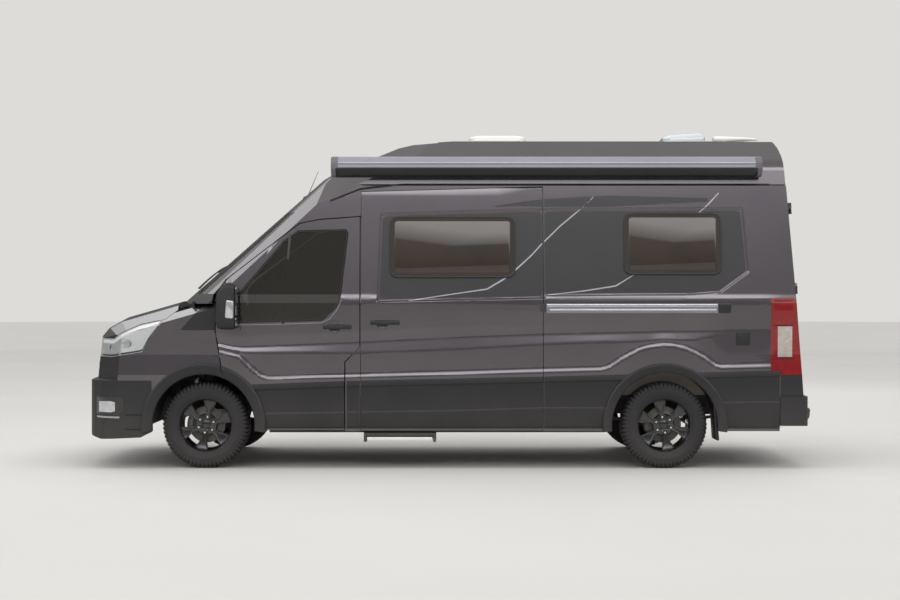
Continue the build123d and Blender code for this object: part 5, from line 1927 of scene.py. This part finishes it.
@dataclass
class RearEnd:
    """The tail lamps' segments, the rear doors' fittings and the bumper's step."""

    corner: Point = (-4600.0, 700.0)

    def lamps(self) -> None:
        """Model the red lens, the clear section and the dark borders of each tail lamp."""
        probe = Probe(("tail_lamps", "rear_door_left", "side_left", "rear_bumper"))
        for name, low, high, columns, rows, lift, thick, finish in (
                ("tail_lens_left", 786, 1376, (-4790, -4640, 15), 14, 1.0, 6, RED_LENS),
                ("tail_clear_left", 912, 1160, (-4785, -4668, 12), 5, 2.6, 5, REVERSE_LENS),
                ("tail_band_high_left", 1164, 1172, (-4789, -4640, 12), 5, 2.6, 5, JOINT_AND_SHADE_BLACK),
                ("tail_band_low_left", 896, 904, (-4789, -4640, 12), 5, 2.6, 5, JOINT_AND_SHADE_BLACK)):
            Skin(name, finish, ((0, low),), ((0, high),), columns, rows, lift, thick,
                 Slot.RED).build(probe, self.corner)

    def doors(self) -> None:
        """Model the rear doors' glass frames, plate, handle, hinge covers, lamp and wiper."""
        skin = Probe(("rear_door_left", "rear_door_right", "rear_window_left", "rear_window_right",
                      "side_left", "side_right"))
        corners = [(110, 1480), (740, 1480), (725, 2050), (110, 2050)]
        rings = []
        for grow in (8, -16):
            loop = rounded([(y + math.copysign(grow, y - 425), z + math.copysign(grow, z - 1765))
                            for y, z in corners], 60 + grow, 8)
            rings.append([skin.rear(*point, -1) for point in loop])
        pair_up(frame_ring("rear_glass_frame_left", *rings, ALONG * -0.0045, 0.0012),
                RUBBER, Body.REAR_DOOR)
        for name, outline, lift, thick, edge, finish in (
                ("plate_recess", rounded(rect(90, 868, 664, 1040), 28), -3, 0.006, 0.003, PLASTIC),
                ("rear_plate", rect(117, 893, 637, 1004), 3, 0.004, 0.0015, PLATE_YELLOW)):
            points = [skin.rear(*point, lift) for point in outline]
            settle(plate(name, points, ALONG * -thick, edge), finish, Body.REAR_DOOR)
        grip = [skin.rear(60, z, 14 - 8 * abs(k - 4) / 4)
                for k, z in enumerate(spaced(1080, 1250, 21))]
        settle(rod("rear_handle", grip, 0.016, 0.010), PLASTIC, Body.REAR_DOOR)
        levels = ((-3, 1.0), (8, 1.0), (14, 0.93), (16, 0.8))
        settle(stack("high_brake_lamp", levels, oval(28, 150, 17, 5), lambda a, b, lift:
                     skin.rear(a, 2236 + b, lift) + UP * 0.066), RED_LENS)
        levels = ((-3, 1.0), (5, 1.0), (8, 0.9), (9, 0.75))
        for name, z in (("hinge_cover_low_left", 1000), ("hinge_cover_high_left", 2130)):
            pair_up(stack(name, levels, oval(20, 34, 24, 4), lambda a, b, lift:
                          skin.rear(790 + a, z + b, lift)), PAINT, Body.REAR_DOOR)
        arm = [skin.rear(180 + 42 * k, 1440 + 5 * k, 20) for k in range(9)]
        pair_up(rod("rear_wiper_left", arm, 0.008, 0.009, 0.7), RUBBER, Body.REAR_DOOR)

    def bumper(self) -> None:
        """Model the tread on the rear bumper and its reflectors."""
        probe = Probe(("rear_bumper",))
        ribs = [rod("rib", [probe.top(u, y, 0.5) for y in spaced(-760, 760, 190)], 0.005, 0.003,
                    count=6) for u in spaced(-4928, -4906, 11)]
        settle(joined("bumper_tread", ribs), PLASTIC)
        levels = ((-3, 1.0), (7, 1.0), (10, 0.85))
        pair_up(stack("rear_reflector_left", levels, oval(24, 75, 19, 6), lambda a, b, lift:
                      probe.rear(700 + a, 500 + b, lift)), RED_LENS)

    def build(self) -> None:
        """Model the whole tail."""
        for part in (self.lamps, self.doors, self.bumper):
            part()


@dataclass
class RoofGear:
    """The rooflights, the television aerial, the whip aerial and the roof's pressed ribs."""

    mast: Point = (-4456, -480)
    head: tuple[Quad, ...] = (
        (-4790, 2827, 0.30, 7), (-4776, 2829, 0.62, 8), (-4740, 2831, 0.84, 11),
        (-4640, 2830, 1.0, 20), (-4560, 2829, 1.0, 26), (-4470, 2827, 1.0, 32),
        (-4420, 2828, 0.97, 31), (-4395, 2832, 0.86, 25), (-4385, 2836, 0.6, 16))

    def lid(self, name: str, back: float, front: float, half: float, levels: Sequence[Point],
            tilt: float = 0.0) -> Piece:
        """Model a rounded lid as superellipses stacked at several levels.

        Args:
            name: The piece's name.
            back: Its rear end from the front axle, in millimetres.
            front: Its front end.
            half: Half of its width.
            levels: Height and size share of each level.
            tilt: How much higher the rear end stands than the middle, in millimetres.

        Returns:
            The lid.
        """
        middle, reach = (back + front) / 2, (front - back) / 2
        (foot, _), (top, _) = levels[0], levels[-1]
        return loft(name, [[at(middle + a * size, b * size,
                               z - tilt * a / reach * (z - foot) / (top - foot))
                            for a, b in oval(48, reach, half, 6)] for z, size in levels])

    def over_mast(self, a: float, b: float, z: float) -> Vector:
        """Give a point beside the mast's axis."""
        return at(self.mast[0] + a, self.mast[1] + b, z)

    def vents(self) -> None:
        """Model both rooflights."""
        base = self.lid("vent_base_front", -2668, -2155, 250,
                        ((2724, 1.0), (2741, 1.0), (2745, 0.985), (2745, 0.93)))
        lid = self.lid("vent_front", -2662, -2161, 244,
                       ((2744, 0.95), (2747, 0.99), (2772, 0.985), (2786, 0.95), (2794, 0.86),
                        (2798, 0.6)))
        settle(join(base, [lid]), WHITE, replaces=("roof_vents",))
        settle(self.lid("vent_base_rear", -4232, -3838, 190,
                        ((2722, 1.0), (2748, 1.0), (2754, 0.97), (2754, 0.93))), WHITE)
        settle(self.lid("vent_dome_rear", -4226, -3844, 184,
                        ((2752, 0.94), (2756, 0.98), (2780, 0.98), (2800, 0.92), (2814, 0.8),
                         (2820, 0.5)), 12), SMOKE_DOME)

    def aerials(self, roof: Probe) -> None:
        """Model the television aerial on its foot, and the whip aerial.

        Args:
            roof: The roof's surface.
        """
        levels = ((2686, 1.15), (2700, 1.1), (2716, 0.95), (2740, 0.86), (2777, 0.84))
        settle(stack("mast_foot", levels, oval(32, 60, 60), self.over_mast), WHITE,
               replaces=("aerial_base",))
        head = loft("aerial_head", [[at(u, self.mast[1] + a * wide, z + b)
                                     for a, b in oval(28, 68, half, 3)]
                                    for u, z, wide, half in self.head])
        join(head, [stack("neck", ((2779, 1), (2806, 1)), oval(28, 40, 40), self.over_mast)])
        settle(head, WHITE, Body.AERIAL, ("tv_aerial",))
        foot = roof.top(-744, 0, -2)
        tip = foot + Vector((-0.100, 0, 0.235))
        whip = rod("whip", [foot.lerp(tip, k / 8) for k in range(9)], 0.0035, 0.0035, 0.5)
        puck = stack("puck", ((-6, 1), (6, 0.95), (14, 0.7), (18, 0.4)), oval(24, 34, 24),
                     lambda a, b, z: foot + Vector((a * MM, b * MM, z * MM)))
        settle(joined("whip_aerial", [puck, whip]), RUBBER)

    def build(self) -> None:
        """Model everything on the roof."""
        roof = Probe(("roof",))
        self.vents()
        self.aerials(roof)
        ribs = [rod("rib", [roof.top(u, y, 0.4) for u in spaced(-4300, -1900, 120)], 0.022, 0.005,
                    count=10) for y in (-520, -380, 380, 520)]
        settle(joined("roof_ribs", ribs), PAINT)


@dataclass
class CabSeats:
    """The two cab seats: crowned foam cushions with sewn panels over a plastic base."""

    centre: float = 0.430
    fill: float = 0.85
    base: tuple[Quad, ...] = (
        (-652, 985, 0, 28), (-668, 990, 0, 46), (-720, 992, 0, 54), (-820, 985, 0, 52),
        (-920, 975, 0, 50), (-1020, 970, 0, 50), (-1100, 965, 0, 44), (-1128, 962, 0, 26))
    back: tuple[Quad, ...] = (
        (-1085, 985, 66, 34), (-1100, 1030, 66, 46), (-1120, 1110, 68, 48),
        (-1140, 1200, 70, 46), (-1165, 1300, 72, 44), (-1195, 1400, 74, 40),
        (-1220, 1470, 76, 34), (-1228, 1498, 78, 20))
    rest: tuple[Quad, ...] = (
        (-1222, 1528, 80, 22), (-1226, 1545, 80, 34), (-1238, 1610, 80, 38),
        (-1250, 1670, 80, 32), (-1254, 1692, 80, 16))

    def cushion(self, name: str, path: Sequence[Quad], half: float, power: float = 3.2) -> Piece:
        """Model a cushion as crowned sections along a side-view path.

        Args:
            name: The piece's name.
            path: Each section's u, z, turn in degrees and half thickness, in millimetres.
            half: Half of its width at its middle.
            power: How square its sections are.

        Returns:
            The cushion, about the middle of the seat.
        """
        loops = []
        count = len(path)
        for index, (u, z, turn, thick) in enumerate(path):
            share = index / (count - 1) * 2 - 1
            width = half * (1 - 0.10 * share ** 4)
            axis = Vector((math.sin(math.radians(turn)), 0, math.cos(math.radians(turn))))
            loop = []
            for a, b in oval(36, width, thick, power):
                bolster = 12 * smooth_step((abs(a) / width - 0.62) / 0.25) if b > 0 else 0
                seam = -6 if b > 0 and abs(abs(a) / width - 0.62) < 0.06 else 0
                loop.append(at(u, a, z) + axis * (b + bolster + seam) * MM)
            loops.append(loop)
        piece = loft(name, loops)
        apply_modifier(piece, "SUBSURF", levels=1, render_levels=1)
        return piece

    def build(self) -> None:
        """Model both seats."""
        base = self.cushion("seat_base_cushion", self.base, 222)
        back = self.cushion("seat_back_cushion", self.back, 214)
        rest = self.cushion("head_rest", self.rest, 122, 2.8)
        levels = ((587, 1.0), (640, 0.98), (850, 0.98), (925, 1.02), (938, 0.96))
        pedestal = stack("seat_pedestal", levels, oval(32, 175, 185, 8),
                         lambda a, b, z: at(-905 + a, b, z))
        posts = joined("head_rest_posts", [
            rod("post", [at(-1232, y, z) for z in (1480, 1500, 1520, 1545)], 0.006, 0.006)
            for y in (-55, 55)])
        for side in Side:
            shift = Matrix.Translation((0, side.value * self.centre, 0))
            for piece in (base, back, rest, pedestal, posts):
                soft = piece in (base, back, rest)
                finish = SEAT_CLOTH if soft else DARK_CHROME if piece is posts else CABIN_PLASTIC
                made = copied(piece, f"{piece.name}_{side.name.lower()}", shift)
                nodes = ("cab_seats",) if piece is base and side is Side.LEFT else ()
                settle(made, finish, Body.ROOT, nodes, 40)
        discard(base, back, rest, pedestal, posts)


@dataclass
class Studio:
    """The pale floor, the soft lights, the reflecting screen, the sky and the camera."""

    floor_radius: float = 90.0
    screen_radius: float = 30.0
    screen_height: float = 24.0
    camera_x: float = 0.07
    camera_y: float = 14.05
    camera_z: float = 1.375
    lens: float = 64.0
    aim: tuple[float, float, float] = (0.0, 0.0, 1.0)

    def build(self) -> None:
        """Make the stage and the camera."""
        bpy.ops.object.select_all(action="DESELECT")
        bpy.ops.mesh.primitive_circle_add(vertices=96, radius=self.floor_radius, fill_type="NGON")
        floor = bpy.context.object
        floor.name = "studio_floor"
        dress(floor, FLOOR)
        self.screen()
        self.light_world()
        for name, place, size, power in (
                ("overhead_softbox", (0.0, 1.5, 8.0), (9.0, 4.0), 260.0),
                ("near_softbox", (2.0, 12.0, 7.0), (8.0, 4.0), 160.0),
                ("far_softbox", (-3.0, -12.0, 6.0), (8.0, 4.0), 160.0)):
            data = bpy.data.lights.new(name, "AREA")
            data.shape = "RECTANGLE"
            data.size, data.size_y = size
            data.energy = power
            lamp = bpy.data.objects.new(name, data)
            lamp.location = place
            way = Vector(self.aim) - Vector(place)
            lamp.rotation_euler = way.to_track_quat("-Z", "Y").to_euler()
            lamp.visible_glossy = False
            bpy.context.scene.collection.objects.link(lamp)
        camera = bpy.data.objects.new("camera", bpy.data.cameras.new("camera"))
        camera.data.lens = self.lens
        camera.location = (self.camera_x, self.camera_y, self.camera_z)
        camera.rotation_euler = (math.radians(90), 0, math.radians(180))
        bpy.context.scene.collection.objects.link(camera)
        bpy.context.scene.camera = camera
        bpy.context.scene.view_settings.view_transform = "Standard"

    def screen(self) -> None:
        """Make a round screen that only reflections see: dim low down, a bright band above."""
        bpy.ops.object.select_all(action="DESELECT")
        bpy.ops.mesh.primitive_cylinder_add(
            vertices=96, radius=self.screen_radius, end_fill_type="NOTHING",
            depth=self.screen_height, location=(0, 0, self.screen_height / 2))
        screen = bpy.context.object
        screen.name = "reflection_screen"
        bpy.ops.object.transform_apply(location=True)
        material, tree, out = new_material("lit_reflection_screen")
        where = add_node(tree, "ShaderNodeTexCoord").outputs["Object"]
        height = add_node(tree, "ShaderNodeSeparateXYZ", Vector=where).outputs["Z"]
        share = add_node(tree, "ShaderNodeMapRange", Value=height, From_Max=self.screen_height)
        ramp = add_node(tree, "ShaderNodeValToRGB", Fac=share.outputs["Result"])
        stops = ((0.0, 0.16), (0.10, 0.22), (0.25, 0.34), (0.395, 0.40), (0.43, 1.3), (0.66, 3.6),
                 (1.0, 4.0))
        cells = ramp.color_ramp.elements
        brightest = stops[-1][1]
        while len(cells) < len(stops):
            cells.new(0.5)
        for cell, (place, level) in zip(cells, stops):
            cell.position = place
            cell.color = (*[level / brightest] * 3, 1)
        across = add_node(tree, "ShaderNodeSeparateXYZ", Vector=where).outputs["Y"]
        dim = add_node(tree, "ShaderNodeMapRange", Value=across, From_Min=-8.0, From_Max=8.0,
                       To_Min=1.3, To_Max=brightest)
        glow = add_node(tree, "ShaderNodeEmission", Color=ramp.outputs["Color"],
                        Strength=dim.outputs["Result"])
        tree.links.new(glow.outputs["Emission"], out.inputs["Surface"])
        screen.data.materials.append(material)
        screen.visible_camera = False
        screen.visible_diffuse = False
        screen.visible_transmission = False
        screen.visible_shadow = False

    def light_world(self) -> None:
        """Make an even white dome that the camera sees as a plain pale background."""
        world = bpy.data.worlds.new("studio_sky")
        bpy.context.scene.world = world
        world.use_nodes = True
        tree = world.node_tree
        tree.nodes.clear()
        out = tree.nodes.new("ShaderNodeOutputWorld")
        rays = add_node(tree, "ShaderNodeLightPath").outputs
        seen = add_node(tree, "ShaderNodeMath", {"operation": "MAXIMUM"},
                        in_0=rays["Is Camera Ray"], in_1=rays["Is Glossy Ray"]).outputs[0]
        seen = add_node(tree, "ShaderNodeMath", {"operation": "MAXIMUM"}, in_0=seen,
                        in_1=rays["Is Transmission Ray"]).outputs[0]
        colour = add_node(tree, "ShaderNodeMix", {"data_type": "RGBA"}, Factor=seen,
                          in_6=linear("#ffffff"), in_7=linear("#dddcd9")).outputs[2]
        light = add_node(tree, "ShaderNodeBackground", Color=colour, Strength=1.0)
        tree.links.new(light.outputs["Background"], out.inputs["Surface"])


def main() -> None:
    """Dress the van, then set the stage."""
    logging.basicConfig(level=logging.INFO, format="%(message)s")
    for row in frame["record"]["subparts"]:
        node = frame["nodes"][row["node"]]
        dress(node, NODE_FINISHES[Slot(row["material_slot"])])
        LOG.info("dressed %s", row["node"])
    form = SideForm()
    PressedPanels(form).build()
    Cladding(form).build()
    ArchTrims(form).build()
    SideGlazing(form).build()
    CabDoorDetails(form).build()
    SideFittings(form).build()
    Mirrors().build()
    Awning().build()
    FrontEnd().build()
    RearEnd().build()
    RoofGear().build()
    CabSeats().build()
    Wheel().build()
    Studio().build()


if __name__ == "__main__":
    main()
